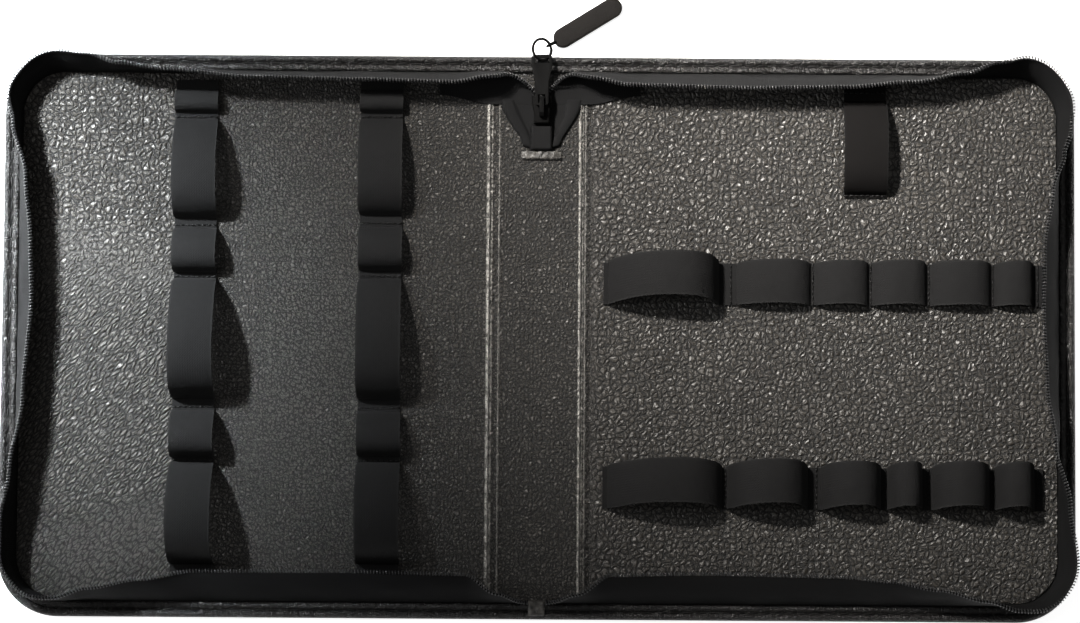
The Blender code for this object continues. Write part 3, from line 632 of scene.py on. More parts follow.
# Stitches that look up from the case's floor
def stitchPiece(name, lines, slot, look, closed=False, finish="thread"):
    source = pathObject(name, [(line, [(0, 0, 1)] * len(line), closed) for line in lines])
    finishPiece(growMesh(source, stitchTree, {**look, "Finish": finishes[finish]}), slot)


# Camera, nearly straight above and a little towards the lower edge
view = {"lens": 100, "sensor": 36, "distance": 1.35, "tilt": math.radians(3.5), "roll": math.radians(0.4),
        "aimAt": Vector((0.675 * mm, 11.475 * mm, 0.0))}


def makeCamera():
    camera = addObject("camera", bpy.data.cameras.new("camera"))
    camera.data.lens = view["lens"]
    camera.data.sensor_width = view["sensor"]
    turn = Matrix.Rotation(view["tilt"], 4, "X") @ Matrix.Rotation(view["roll"], 4, "Z")
    camera.matrix_world = Matrix.Translation(view["aimAt"] + turn @ up(view["distance"])) @ turn
    bpy.context.scene.camera = camera


makeCamera()

# Cover: the skin turned over at the edge into two wrinkled ridges with a sewing groove
skin = {
    "step": 1.4 * mm,
    "cornerSteps": 22,
    "profileSteps": 3,
    "wrinkle": 0.16 * mm,
    "wrinkleLength": 3.2 * mm,
    "wrinkleDraw": 2.2,
    "swell": 0.22 * mm,
    "swellLength": 14 * mm,
    "mostRise": 0.12 * mm,
    "looseFrom": 0.45,
    "looseFull": 0.95,
    "creaseWidth": 4.3 * mm,
    "creaseDepth": 0.7 * mm,
    "creaseSteps": 12,
    "grooveInset": 0.51,
    "grooveRise": 0.70,
    "stitches": {"Pitch": 5.8 * mm, "Length": 4.3 * mm, "Thickness": 0.8 * mm, "Tilt": 0.05},
    # From under the cover round to the inside of the rim, in shares of its width and height
    "rim": (
        (0.14, 0.00), (0.03, 0.14), (0.00, 0.45), (0.04, 0.78), (0.16, 0.97), (0.30, 1.00), (0.43, 0.86),
        (0.49, 0.68), (0.54, 0.68), (0.61, 0.86), (0.74, 1.00), (0.90, 0.99), (1.00, 0.86),
    ),
}


def coverRing(inset):  # the cover's outline brought in by an inset, as (point, distance round)
    radius, cornerSteps = case["cornerRadius"], skin["cornerSteps"]
    cornerX, cornerY = case["halfLength"] - radius, case["halfDepth"] - radius
    ring = []
    around = 0.0
    for index, (signX, signY) in enumerate(((1, 1), (-1, 1), (-1, -1), (1, -1))):
        centre = Vector((signX * cornerX, signY * cornerY, 0.0))
        for step in range(cornerSteps + 1):
            turn = math.pi / 2 * step / cornerSteps
            out = direction(math.pi / 2 * index + turn)
            ring.append((centre + out * (radius - inset), around + radius * turn))
        start, around = ring[-1]
        length = 2 * (cornerY if index % 2 else cornerX)
        steps = round(length / skin["step"])
        heading = Vector((-out.y, out.x, 0.0)) * length
        for step in range(1, steps):
            ring.append((start + heading * step / steps, around + length * step / steps))
        around += length
    return ring


def smoothRows(rows, steps):  # a curve through the rows
    points = [Vector(row) for row in rows]
    line = []
    for index in range(len(points) - 1):
        a = points[max(index - 1, 0)]
        b, c = points[index], points[index + 1]
        d = points[min(index + 2, len(points) - 1)]
        for step in range(steps):
            t = step / steps
            line.append(0.5 * (2 * b + (c - a) * t + (2 * a - 5 * b + 4 * c - d) * t ** 2
                               + (3 * b - a - 3 * c + d) * t ** 3))
    return [*line, points[-1]]


def makeCreaseCutter(side):
    half, steps = skin["creaseWidth"] / 2, skin["creaseSteps"]
    middle = side * (case["spineHalf"] + half)
    arch = [direction(math.pi * step / steps) for step in range(1, steps)]
    profile = [(half * spot.x, skin["creaseDepth"] * spot.y) for spot in arch]
    profile = [(half, -1 * mm), *profile, (-half, -1 * mm)]
    reach = 1.2 * case["halfDepth"]  # past both edges
    corners = [(middle + x, y, z) for y in (-reach, reach) for x, z in profile]
    return pieceFrom("creaseCutter", corners, stackFaces(len(profile), 2))


def makeSkin():
    line = smoothRows(skin["rim"], skin["profileSteps"])
    points = []
    for row in line:
        inset = max(row.x, 0.0) * case["rimWidth"]
        rise = max(row.y, 0.0) * case["panelTop"]
        loose = eased((row.y - skin["looseFrom"]) / (skin["looseFull"] - skin["looseFrom"]))
        for point, around in coverRing(inset):
            place = Vector((around / skin["wrinkleLength"],
                            inset / (skin["wrinkleDraw"] * skin["wrinkleLength"]), 0.0))
            crinkle = noise.noise(place) - 0.5 * abs(noise.noise(place * 2.1 + Vector((7, 3, 1))))
            swell = noise.noise(Vector((around / skin["swellLength"], 5.0, inset / case["rimWidth"])))
            drop = skin["wrinkle"] * (crinkle - 0.3) + skin["swell"] * (swell - 0.3)
            points.append(point + up(rise + loose * min(drop, skin["mostRise"])))
    inner = coverRing(case["rimWidth"])
    points += [point + up(case["skinThickness"]) for point, around in inner]
    piece = pieceFrom("coverSkin", points, stackFaces(len(inner), len(line) + 1), "leatherette")
    cutters = [makeCreaseCutter(side) for side in (-1, 1)]
    for cutter in cutters:
        piece.modifiers.new("crease", "BOOLEAN").object = cutter
    graph = bpy.context.evaluated_depsgraph_get()
    cutMesh = bpy.data.meshes.new_from_object(piece.evaluated_get(graph))
    piece.modifiers.clear()
    piece.data = cutMesh
    for cutter in cutters:
        bpy.data.objects.remove(cutter)
    piece.data.shade_smooth()
    piece.data.set_sharp_from_angle(angle=math.radians(50))
    finishPiece(piece, "leatherette", "cover_skin")
    lift = up(skin["grooveRise"] * case["panelTop"])
    groove = [point + lift for point, around in coverRing(skin["grooveInset"] * case["rimWidth"])]
    stitchPiece("rimStitches", [groove], "leatherette", skin["stitches"], closed=True)


makeSkin()

# Lining: displaced with the same grain that its finish shows
lining = {
    "pitch": 0.82 * mm,
    "spinePitch": 0.42 * mm,
    "edgeRound": 0.4 * mm,
    "relief": 0.07 * mm,
    "fineCalm": 0.55,
    "waves": 0.4 * mm,
    "waveScale": 16.0,
    "seamAt": 23.8 * mm,
    "bendSteps": 30,
    # Creases beside the spine, from left to right: place and rise over the panels in millimetres
    "creases": (
        (-23.8, 0.00), (-23.3, -0.10), (-22.3, 0.75), (-21.3, -0.40), (-20.2, -0.75), (-18.6, -0.45),
        (-17.8, 0.40), (-16.9, -0.10), (-15.0, 0.00), (17.0, 0.00), (17.8, -0.15), (18.7, 0.60),
        (19.6, -0.35), (20.9, 0.20), (21.8, -0.25), (22.8, -0.85), (23.5, -0.50), (23.8, 0.00),
    ),
    "stitchLines": ((-22.3, 0.62), (-17.8, 0.30), (18.7, 0.48), (20.9, 0.12)),
    "stitches": {"Pitch": 1.9 * mm, "Length": 1.7 * mm, "Thickness": 0.5 * mm, "Tilt": 0.12, "Seed": 11},
}


def makeReliefTree():
    tree, given = newTree("GeometryNodeTree", "liningRelief", {
        "Geometry": "Geometry", "Relief": 0.2 * mm, "Waves": 0.4 * mm, "Finish": "Material",
    }, {"Geometry": "Geometry"})
    position = addNode(tree, "GeometryNodeInputPosition").outputs[0]
    height, _, fineShare = liningPattern(position, reliefGrain)
    shown = addNode(tree, "GeometryNodeInputNamedAttribute", {"Name": "shown"}, data_type="FLOAT").outputs[0]
    calm = minus(1.0, times(fineShare, lining["fineCalm"]))
    drop = times(minus(height, 1.0), times(given["Relief"], calm))
    sway = times(minus(cloud(position, lining["waveScale"], 1.0)["Fac"], 0.5), given["Waves"])
    offset = joined(z=times(plus(drop, sway), shown))
    moved = addNode(tree, "GeometryNodeSetPosition", {"Geometry": given["Geometry"], "Offset": offset})
    endTree(tree, moved, given["Finish"])
    return tree


reliefTree = makeReliefTree()


# Each column is its x, its half depth in y, and its height over the panel
def liningPiece(name, columns, rowCount, node):
    last = len(columns) - 1
    points, shown = [], []
    for i, (x, halfDepth, lift) in enumerate(columns):
        isSide = i in (0, last)
        isSeam = isSide and abs(abs(x) - lining["seamAt"]) < 0.01 * mm
        for j in range(rowCount):
            onEdge = isSide or j in (0, rowCount - 1)
            sunk = lining["edgeRound"] if onEdge and not isSeam else 0.0
            y = (-1 + 2 * j / (rowCount - 1)) * halfDepth
            points.append((x, y, case["panelTop"] + lift - sunk))
            shown.append(0.0 if onEdge else 1.0)
    total = len(points)
    border = gridBorder(last + 1, rowCount)
    base = list(range(total, total + len(border)))
    points += [(*points[index][:2], case["panelBase"]) for index in border]
    shown += [0.0] * len(border)
    faces = gridFaces(last + 1, rowCount)
    faces += zip(border, border[1:] + border[:1], base[1:] + base[:1], base)
    source = pieceFrom(name, points, [*faces, tuple(base)], "grainedLining")
    source.data.attributes.new("shown", "FLOAT", "POINT").data.foreach_set("value", shown)
    piece = growMesh(source, reliefTree, {
        "Relief": lining["relief"], "Waves": lining["waves"], "Finish": finishes["grainedLining"],
    })
    piece.data.set_sharp_from_angle(angle=math.radians(60))
    finishPiece(piece, "grained_lining", node)


def makePanel(side, name, node):
    radius = case["cornerRadius"] - case["panelInset"]
    bendAt = case["halfLength"] - case["panelInset"] - radius
    run = bendAt - lining["seamAt"]
    steps = round(run / lining["pitch"])
    columns = [(lining["seamAt"] + run * step / steps, panelEdge) for step in range(steps)]
    for step in range(lining["bendSteps"] + 1):
        out = direction(math.pi / 2 * (1 - step / lining["bendSteps"])) * radius
        columns.append((bendAt + out.x, panelEdge - radius + out.y))
    columns = [(side * x, halfDepth, 0.0) for x, halfDepth in columns]
    liningPiece(name, columns, round(2 * panelEdge / lining["pitch"]), node)


def makeSpine():
    width = 2 * lining["seamAt"]
    count = round(width / lining["spinePitch"])
    places = [-lining["seamAt"] + width * step / count for step in range(count + 1)]
    columns = [(x, panelEdge, readTable(lining["creases"], x / mm) * mm) for x in places]
    liningPiece("spineLining", columns, round(2 * panelEdge / lining["pitch"]), "spine_strip")


def makeCreaseStitches():
    reach = panelEdge - 3 * mm
    lines = [[Vector((x * mm, y, case["panelTop"] + lift * mm)) for y in (reach, -reach)]
             for x, lift in lining["stitchLines"]]
    # pale thread that carries the beads' painted highlight
    stitchPiece("creaseStitches", lines, "grained_lining", lining["stitches"], finish="paleBeadHighlightThread")


makePanel(-1, "liningLeft", "panel_left")
makePanel(1, "liningRight", "panel_right")
makeSpine()
makeCreaseStitches()

# Zip tapes, leaning in along the sides and out at the corners
zipTape = {
    "width": 16.3 * mm,
    "thickness": 0.8 * mm,
    "seamWidth": 1.0 * mm,
    "startHalfGap": 4.4 * mm,
    "leaveInset": 1.5 * mm,
    "turnShare": 0.62,
    "step": 1.5 * mm,
    "cornerSteps": 20,
    "runInSteps": 14,
    "levels": 12,
    "ripple": 0.99 * mm,
    "rippleLength": 17 * mm,
    "rippleEnds": (0.0, 0.93),
    "rippleFade": 0.06,
    "coilOffset": 0.75 * mm,
    "sliderOffset": 0.8 * mm,
    "mouthHalf": 2.5 * mm,
    "mouthRise": 1.55 * mm,
    "climb": 3.6 * mm,
    "teeth": {"Pitch": 1.38 * mm, "Tilt": 0.06, "Seed": 5, "Lean": 0.22,
              "Loop Radius": 0.78 * mm, "Wire Radius": 0.32 * mm},
    # Share of the tape's run from the lower joint to the slider, and lean as a share of its width
    "left": (
        (0.000, 0.02), (0.018, 0.32), (0.040, 0.74), (0.120, 0.80), (0.215, 0.78), (0.250, 0.56),
        (0.283, 0.33), (0.306, 0.06), (0.328, -0.08), (0.350, -0.22), (0.374, -0.22), (0.405, 0.00),
        (0.453, 0.30), (0.519, 0.47), (0.555, 0.42), (0.597, 0.28), (0.632, -0.06), (0.656, -0.30),
        (0.680, -0.41), (0.702, -0.33), (0.722, -0.08), (0.755, 0.08), (0.807, 0.26), (0.880, 0.31),
        (0.945, 0.36), (0.966, 0.28), (1.000, 0.00),
    ),
    "right": (
        (0.000, 0.02), (0.018, 0.30), (0.042, 0.74), (0.100, 0.80), (0.190, 0.74), (0.222, 0.63),
        (0.254, 0.42), (0.284, 0.14), (0.306, -0.10), (0.328, -0.26), (0.350, -0.32), (0.388, -0.12),
        (0.427, 0.24), (0.466, 0.45), (0.510, 0.52), (0.555, 0.50), (0.594, 0.28), (0.617, 0.00),
        (0.634, -0.20), (0.656, -0.30), (0.680, -0.40), (0.700, -0.24), (0.722, 0.06), (0.755, 0.28),
        (0.800, 0.42), (0.860, 0.46), (0.945, 0.40), (0.966, 0.30), (1.000, 0.00),
    ),
    # The same share, height as a share of the width, and share of the climb on to the spine
    "ends": (
        (0.000, 0.24, 0.0), (0.020, 0.72, 0.0), (0.040, 1.00, 0.0), (0.940, 1.00, 0.0),
        (0.962, 0.74, 1.0), (0.982, 0.32, 1.0), (0.993, 0.05, 1.0), (1.000, 0.03, 1.0),
    ),
}


def tapeRun(side):
    radius = case["cornerRadius"] - case["rimWidth"] - case["fitGap"] - zipTape["seamWidth"] / 2
    x, y = (case[key] - case["cornerRadius"] for key in ("halfLength", "halfDepth"))
    edgeX, edgeY = x + radius, y + radius
    leave = case["spineHalf"] - zipTape["leaveInset"]
    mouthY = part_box("tape_gusset")[1].y + case["fitGap"]

    def straight(start, end):  # up to but not including its end
        start, end = Vector(start), Vector(end)
        steps = max(1, round((end - start).length / zipTape["step"]))
        return [start.lerp(end, step / steps) for step in range(steps)]

    def corner(middleY, quarters):
        steps = zipTape["cornerSteps"]
        return [Vector((x, middleY)) + direction(math.pi / 2 * (quarters + step / steps)).xy * radius
                for step in range(steps)]

    points = [
        *straight((zipTape["startHalfGap"], -edgeY), (x, -edgeY)), *corner(-y, 3),
        *straight((edgeX, -y), (edgeX, y)), *corner(y, 0), *straight((x, edgeY), (leave, edgeY)),
    ]
    start, bend = Vector((leave, edgeY)), Vector((leave * zipTape["turnShare"], edgeY))
    end = Vector((side * zipTape["sliderOffset"] + zipTape["mouthHalf"], mouthY + zipTape["mouthRise"]))
    for step in range(zipTape["runInSteps"] + 1):
        share = step / zipTape["runInSteps"]
        points.append(start * (1 - share) ** 2 + bend * 2 * share * (1 - share) + end * share ** 2)
    return [Vector((side * point.x, point.y)) for point in points]


def tapeSections(side, leans):
    run = tapeRun(side)
    lengths = [0.0]
    for before, after in zip(run, run[1:]):
        lengths.append(lengths[-1] + (after - before).length)
    levels, fade = zipTape["levels"], zipTape["rippleFade"]
    calmStart, calmEnd = zipTape["rippleEnds"]
    sections = []
    for index, point in enumerate(run):
        at = lengths[index] / lengths[-1]
        along = (run[min(index + 1, len(run) - 1)] - run[max(index - 1, 0)]).normalized()
        inward = Vector((-along.y, along.x, 0.0)) * side
        height = readTable(zipTape["ends"], at) * zipTape["width"]
        meanAngle = math.asin(readTable(leans, at))
        foot = Vector((*point, case["panelBase"] + zipTape["climb"] * readTable(zipTape["ends"], at, 2)))
        rise = min(case["panelTop"] - case["panelBase"], height)
        out = 0.0
        section = [foot]
        ripple = zipTape["ripple"] * eased(min((at - calmStart) / fade, (calmEnd - at) / fade))
        for level in range(levels + 1):
            share = level / levels
            place = Vector((lengths[index] / zipTape["rippleLength"], share * 1.4, 3.0 + side))
            sway = ripple * math.sin(math.pi * min(share * 1.15, 1.0)) * noise.noise(place)
            section.append(foot + inward * (out + sway) + up(rise))
            angle = meanAngle * (0.5 + (level + 0.5) / levels)
            out += math.sin(angle) * height / levels
            rise += math.cos(angle) * height / levels
        sections.append(section)
    return sections


def makeZip(side, label):
    sections = tapeSections(side, zipTape[label])
    tape = sheetPiece("zipTape" + label.capitalize(), sections, zipTape["thickness"], "zipTapeCloth")
    finishPiece(tape, "zip_tape_cloth", "zip_tape_" + label)
    line, facings = [], []
    for index, section in enumerate(sections):
        after = sections[min(index + 1, len(sections) - 1)][-1]
        along = (after - sections[max(index - 1, 0)][-1]).normalized()
        out = (section[-1] - section[-2]).normalized()
        square = (out - along * out.dot(along)).normalized()
        line.append(section[-1] + square * zipTape["coilOffset"])
        facings.append(tuple(square))
    source = pathObject("zipCoil" + label.capitalize(), [(line, facings, False)])
    coil = growMesh(source, toothTree, {**zipTape["teeth"], "Finish": finishes["coilPlastic"]})
    finishPiece(coil, "coil_plastic", "zip_coil_" + label)


makeZip(-1, "left")
makeZip(1, "right")

# Elastic, sewn down between its loops
elastic = {
    "width": 19.6 * mm,
    "thickness": 1.0 * mm,
    "loopRise": 20 * mm,
    "skew": 0.22,
    "fullness": 2.4,
    "roundness": 0.75,
    "rowLean": 0.24,
    "loopSteps": 34,
    "columns": 16,
    "neck": 0.45 * mm,
    "neckHeight": 4 * mm,
    "edgeDrift": 0.35 * mm,
    "driftLength": 22 * mm,
    "crown": 0.35 * mm,
    "ripple": 0.25 * mm,
    "rippleLength": 6 * mm,
    "stitchShare": 0.68,
    "stitchInset": 1.0 * mm,
    "stitches": {"Pitch": 2.3 * mm, "Length": 1.6 * mm, "Thickness": 0.7 * mm, "Tilt": 0.25},
}
# Each loop is its start and end as shares of the band's length, and its share of the tallest rise
bands = {
    "bandLeftOuter": {"node": "band_left_outer", "isRow": False, "seed": 1, "cloth": "elastic", "loops": (
        (0.021, 0.062, 0.26), (0.078, 0.270, 0.66), (0.294, 0.377, 0.44),
        (0.392, 0.624, 0.98), (0.651, 0.740, 0.56), (0.751, 0.946, 1.00),
    )},
    "bandLeftInner": {"node": "band_left_inner", "isRow": False, "seed": 2, "cloth": "elastic", "loops": (
        (0.018, 0.060, 0.26), (0.076, 0.262, 0.58), (0.289, 0.371, 0.42),
        (0.391, 0.624, 0.88), (0.651, 0.735, 0.50), (0.750, 0.944, 0.90),
    )},
    "bandRightUpper": {"node": "band_right_upper", "isRow": True, "seed": 3, "cloth": "elastic", "loops": (
        (0.012, 0.262, 0.86), (0.304, 0.470, 0.29), (0.480, 0.602, 0.27),
        (0.612, 0.734, 0.28), (0.744, 0.880, 0.28), (0.890, 0.978, 0.27),
    )},
    "bandRightLower": {"node": "band_right_lower", "isRow": True, "seed": 4, "cloth": "elastic", "loops": (
        (0.012, 0.270, 0.74), (0.284, 0.464, 0.76), (0.496, 0.630, 0.60),
        (0.648, 0.724, 0.54), (0.748, 0.876, 0.62), (0.888, 0.978, 0.56),
    )},
    "strapRight": {"node": "strap_right", "isRow": False, "seed": 5, "cloth": "strapCloth", "loops": (
        (0.150, 0.970, 0.42),
    )},
}


def bandLine(loops, length):  # the band from its side, as (along, height)
    line = [(0.0, 0.0)]
    for start, end, rise in loops:
        for step in range(elastic["loopSteps"] + 1):
            share = -math.cos(math.pi * step / elastic["loopSteps"])
            arch = max(0.0, 1 - abs(share) ** elastic["fullness"]) ** elastic["roundness"]
            skew = elastic["skew"] * (1 - share * share)
            along = (start + (end - start) * (0.5 + 0.5 * (share + skew))) * length
            line.append((along, rise * elastic["loopRise"] * arch))
    return [*line, (length, 0.0)]


def makeBand(name, node, isRow, seed, cloth, loops):
    low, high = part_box(node)
    base = case["panelTop"] + case["fitGap"] + elastic["thickness"] / 2
    if isRow:
        heading, length = Vector((1.0, 0.0, 0.0)), high.x - low.x
        start = Vector((low.x, low.y + elastic["width"] / 2, base))
    else:
        heading, length = Vector((0.0, -1.0, 0.0)), high.y - low.y
        start = Vector(((low.x + high.x) / 2, high.y, base))
    across = Vector((heading.y, -heading.x, 0.0))
    lift = Vector((0.0, elastic["rowLean"] if isRow else 0.0, 1.0))
    tallest = max(rise for loopStart, loopEnd, rise in loops) * elastic["loopRise"]
    grid = []
    for along, height in bandLine(loops, length):
        raised = min(height / elastic["neckHeight"], 1.0)
        row = []
        for column in range(elastic["columns"] + 1):
            share = -1 + 2 * column / elastic["columns"]
            drift = noise.noise(Vector((along / elastic["driftLength"], share * 0.6, seed)))
            narrowed = elastic["neck"] * (1 - raised) - drift * elastic["edgeDrift"] * raised
            crown = elastic["crown"] * raised * (share * share - 0.5)
            ripple = noise.noise(Vector((along / elastic["rippleLength"], share * 1.5, seed + 9)))
            point = start + heading * along + lift * height
            point += across * share * (elastic["width"] / 2 - narrowed)
            point.z += (ripple * elastic["ripple"] * raised - crown) * min(1.0, height / tallest * 3)
            row.append(point)
        grid.append(row)
    finishPiece(sheetPiece(name, grid, elastic["thickness"], cloth), "elastic", node)
    gaps = [before[1] + (after[0] - before[1]) * elastic["stitchShare"]
            for before, after in zip(loops, loops[1:])] or [loops[0][0] / 2]
    reach = across * (elastic["width"] / 2 - elastic["neck"] - elastic["stitchInset"])
    lines = []
    for gap in (*gaps, (loops[-1][1] + 1) / 2):
        middle = start + heading * gap * length + up(elastic["thickness"] / 2)
        lines.append([middle - reach, middle + reach])
    stitchPiece(name + "Stitches", lines, "elastic", {**elastic["stitches"], "Seed": seed})


for name, band in bands.items():
    makeBand(name, **band)

# Folded tape ends under the slider, the bar that holds them and the lower edge's tab
gusset = {
    "steps": (72, 48),
    "thickness": 0.55 * mm,
    "foldRise": 1.0 * mm,
    "foldWidth": 0.10,
    "crumple": 0.18 * mm,
    "tailHalf": 8.5 * mm,
    "flare": 1.6,
    "cornerDrop": 1.5 * mm,
}
# A dark tape-cloth sheet: partly the tape's flat margin, partly a sheet put in the shade under the top wall,
# with its reach and depth following that shade
marginAndShade = {
    "reach": 46 * mm,
    "depth": 14.0 * mm,
    "leastDepth": 2.5 * mm,
    "narrowEnd": 0.72,
    "draw": 0.1,
    "thickness": 0.7 * mm,
    "rise": 2.2 * mm,
    "fold": 0.35 * mm,
    "foldLength": 9 * mm,
    "steps": 8,
}
pads = {
    "tapeEnd": {"node": "tape_end", "slot": "zip_tape_cloth", "finish": "zipTapeCloth",
                "rise": 1.0, "soft": 0.16, "crinkle": 0.15 * mm, "crinkleSize": 4 * mm},
    "gussetBar": {"node": "gusset_bar", "slot": "leatherette", "finish": "rubbedAndHighlitLeather",
                  "rise": 1.15, "soft": 0.35, "crinkle": 0.5 * mm, "crinkleSize": 1.8 * mm},
    "edgeTab": {"node": "edge_tab", "slot": "leatherette", "finish": "rubbedAndHighlitLeather",
                "rise": 1.1, "soft": 0.25, "crinkle": 0.4 * mm, "crinkleSize": 2.0 * mm},
}
padStep = 0.45 * mm
barStitches = {"Pitch": 2.4 * mm, "Length": 2.0 * mm, "Thickness": 0.6 * mm, "Tilt": 0.15, "Seed": 21}


# A low cushion of cloth or leather: outline and height are functions of two shares from -1 to 1
def reliefPiece(name, steps, place, height, base, finish):
    rows, columns = steps[0] + 1, steps[1] + 1
    points = []
    for i in range(rows):
        for j in range(columns):
            u, v = -1 + 2 * i / steps[0], -1 + 2 * j / steps[1]
            points.append((*place(u, v), base + height(u, v)))
    points += [(x, y, base) for x, y, z in points]
    uvs = [(x, y) for x, y, z in points]
    return pieceFrom(name, points, closedFaces(rows, columns), finish, uvs, 60)


def edgeFall(share, soft):  # full inside, falling away over the last part of the way
    return eased((1 - abs(share)) / soft)


def makeGusset():
    low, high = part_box("tape_gusset")
    topHalf = (high.x - low.x) / 2

    def place(u, v):
        share = (v + 1) / 2
        flare = math.sin(math.pi / 2 * share) ** gusset["flare"]
        half = gusset["tailHalf"] + (topHalf - gusset["tailHalf"]) * flare
        corner = gusset["cornerDrop"] * abs(u) ** 3 * (1 - share) ** 3
        return Vector(((low.x + high.x) / 2 + u * half, low.y + (high.y - low.y) * share + corner))

    def height(u, v):
        inner = (0.52 + 0.12 * v) if u < 0 else (0.60 - 0.16 * v * v + 0.10 * v)
        fold = eased((abs(u) - inner) / gusset["foldWidth"])
        roll = math.sin(math.pi * clamped((abs(u) - inner) / (1 - inner))) ** 0.6
        crumple = gusset["crumple"] * noise.noise(Vector((u * 2.5, v * 3.0, 4.0)))
        rise = gusset["thickness"] + fold * gusset["foldRise"] * (0.35 + 0.65 * roll)
        rounded = (0.25 + 0.75 * edgeFall(u, 0.06)) * (0.3 + 0.7 * edgeFall(v, 0.08))
        return rise * rounded + crumple * edgeFall(v, 0.1)

    piece = reliefPiece("tapeGusset", gusset["steps"], place, height, low.z, "zipTapeCloth")
    finishPiece(piece, "zip_tape_cloth", "tape_gusset")


# dark cloth that is partly the tape's margin and partly stands in for the shade under the top wall
def makeMargin(side, name):  # flat margin of a zip tape, where the tape turns in to the slider
    run = [point for point in tapeRun(side) if point.y > 0 and abs(point.x) < marginAndShade["reach"]]
    grid = []
    for index, point in enumerate(run):
        share = index / (len(run) - 1)
        widening = marginAndShade["narrowEnd"] + (1 - marginAndShade["narrowEnd"]) * eased(2.2 * share)
        foot = Vector((point.x * (1 - marginAndShade["draw"] * share), run[0].y - marginAndShade["depth"] * widening))
        foot.y = min(foot.y, point.y - marginAndShade["leastDepth"])
        row = []
        for step in range(marginAndShade["steps"] + 1):
            down = step / marginAndShade["steps"]
            spot = point.lerp(foot, down)
            fold = noise.noise(Vector((spot.x / marginAndShade["foldLength"], down * 1.5, 6.0 + side)))
            rise = marginAndShade["rise"] * (1 - down) ** 1.5 * min(1.0, 4 * share)
            rise += marginAndShade["fold"] * fold * math.sin(math.pi * down)
            row.append(Vector((*spot, case["panelTop"] + marginAndShade["thickness"] + rise)))
        grid.append(row)
    finishPiece(sheetPiece(name, grid, marginAndShade["thickness"], "zipTapeCloth"), "zip_tape_cloth")


def makePad(name, node, slot, finish, rise, soft, crinkle, crinkleSize):
    low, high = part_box(node)
    size = high - low

    def place(u, v):
        return Vector((low.x + size.x * (u + 1) / 2, low.y + size.y * (v + 1) / 2))

    def height(u, v):
        crumple = crinkle * noise.noise(Vector((*(place(u, v) / crinkleSize), 2.0)))
        full = edgeFall(u, soft) * edgeFall(v, soft)
        return size.z * (0.35 + 0.65 * full) * rise + crumple * full

    steps = [max(8, round(reach / padStep)) for reach in size.xy]
    finishPiece(reliefPiece(name, steps, place, height, low.z, finish), slot, node)


def makeBarStitches():
    low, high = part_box("gusset_bar")
    lines = []
    for share, lift in ((0.12, 0.55), (0.9, 0.45)):
        y, z = low.y + (high.y - low.y) * share, low.z + (high.z - low.z) * lift
        lines.append([Vector((x, y, z)) for x in (low.x + 1 * mm, high.x - 1 * mm)])
    stitchPiece("gussetBarStitches", lines, "leatherette", barStitches)


makeGusset()
makeMargin(-1, "tapeMarginShadeLeft")
makeMargin(1, "tapeMarginShadeRight")
for name, pad in pads.items():
    makePad(name, **pad)
makeBarStitches()


# Slider and puller: the solids with their edges broken
def easedCopy(name, node, width):
    form = bmesh.new()
    form.from_mesh(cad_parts[node].data)
    bmesh.ops.remove_doubles(form, verts=form.verts, dist=0.005 * mm)
    bmesh.ops.dissolve_limit(form, angle_limit=math.radians(1.5), verts=form.verts, edges=form.edges)
    least = math.radians(28)
    sharp = [edge for edge in form.edges if len(edge.link_faces) == 2 and edge.calc_face_angle() > least]
    bmesh.ops.bevel(form, geom=sharp, offset=width, segments=3, profile=0.5, affect="EDGES",
                    clamp_overlap=True)
    bmesh.ops.recalc_face_normals(form, faces=form.faces)
    mesh = bpy.data.meshes.new(name)
    form.to_mesh(mesh)
    form.free()
    mesh.materials.append(finishes["blackMetal"])
    mesh.shade_smooth()
    mesh.set_sharp_from_angle(angle=math.radians(40))
    finishPiece(addObject(name, mesh), "black_metal", node)


easedCopy("sliderBody", "slider_body", 0.16 * mm)
easedCopy("sliderPuller", "slider_puller", 0.14 * mm)

# Pull: a ring, the small eye on it and the moulded tab
pull = {
    "ringWire": 0.62 * mm,
    "ringRoll": math.radians(31),
    "ringSteps": 56,
    "eyeRadius": 1.5 * mm,
    "eyeWire": 0.52 * mm,
    "eyeSteps": 28,
    "stemWire": 0.8 * mm,
    "stemReach": 1.2 * mm,
    "wireSides": 10,
    "tabAngle": math.radians(32),
    "tabLength": 35 * mm,
    "tabWidth": 9 * mm,
    "tabThickness": 3.2 * mm,
    "tabRound": 0.9 * mm,
    "tabGap": 2.45 * mm,
    "stemHeight": 1.92 * mm,
    "roundSteps": 6,
    "endSteps": 24,
}


# Each line is (points, radius, closed)
def wireMesh(name, lines):
    points, faces = [], []
    sides = pull["wireSides"]
    for line, radius, closed in lines:
        first, count = len(points), len(line)
        guide = Vector((0.31, 0.17, 0.93)).normalized()
        for index, point in enumerate(line):
            before = line[index - 1] if closed else line[max(index - 1, 0)]
            after = line[(index + 1) % count] if closed else line[min(index + 1, count - 1)]
            along = (after - before).normalized()
            guide = (guide - along * guide.dot(along)).normalized()
            other = along.cross(guide)
            for side in range(sides):
                spot = direction(2 * math.pi * side / sides)
                points.append(point + (guide * spot.x + other * spot.y) * radius)
        ends = first + (count - 1) * sides
        offset = 0
        if closed:  # the last ring is turned to meet the first
            gaps = [(points[ends] - points[first + side]).length for side in range(sides)]
            offset = gaps.index(min(gaps))
        else:
            faces += [tuple(range(first, first + sides)), tuple(range(ends, ends + sides))]
        for index in range(count if closed else count - 1):
            isLast = index == count - 1
            low, high = first + index * sides, first if isLast else first + (index + 1) * sides
            turn = offset if isLast else 0
            for side in range(sides):
                faces.append((low + side, low + (side + 1) % sides,
                              high + (side + 1 + turn) % sides, high + (side + turn) % sides))
    return pieceFrom(name, points, faces, "blackMetal")


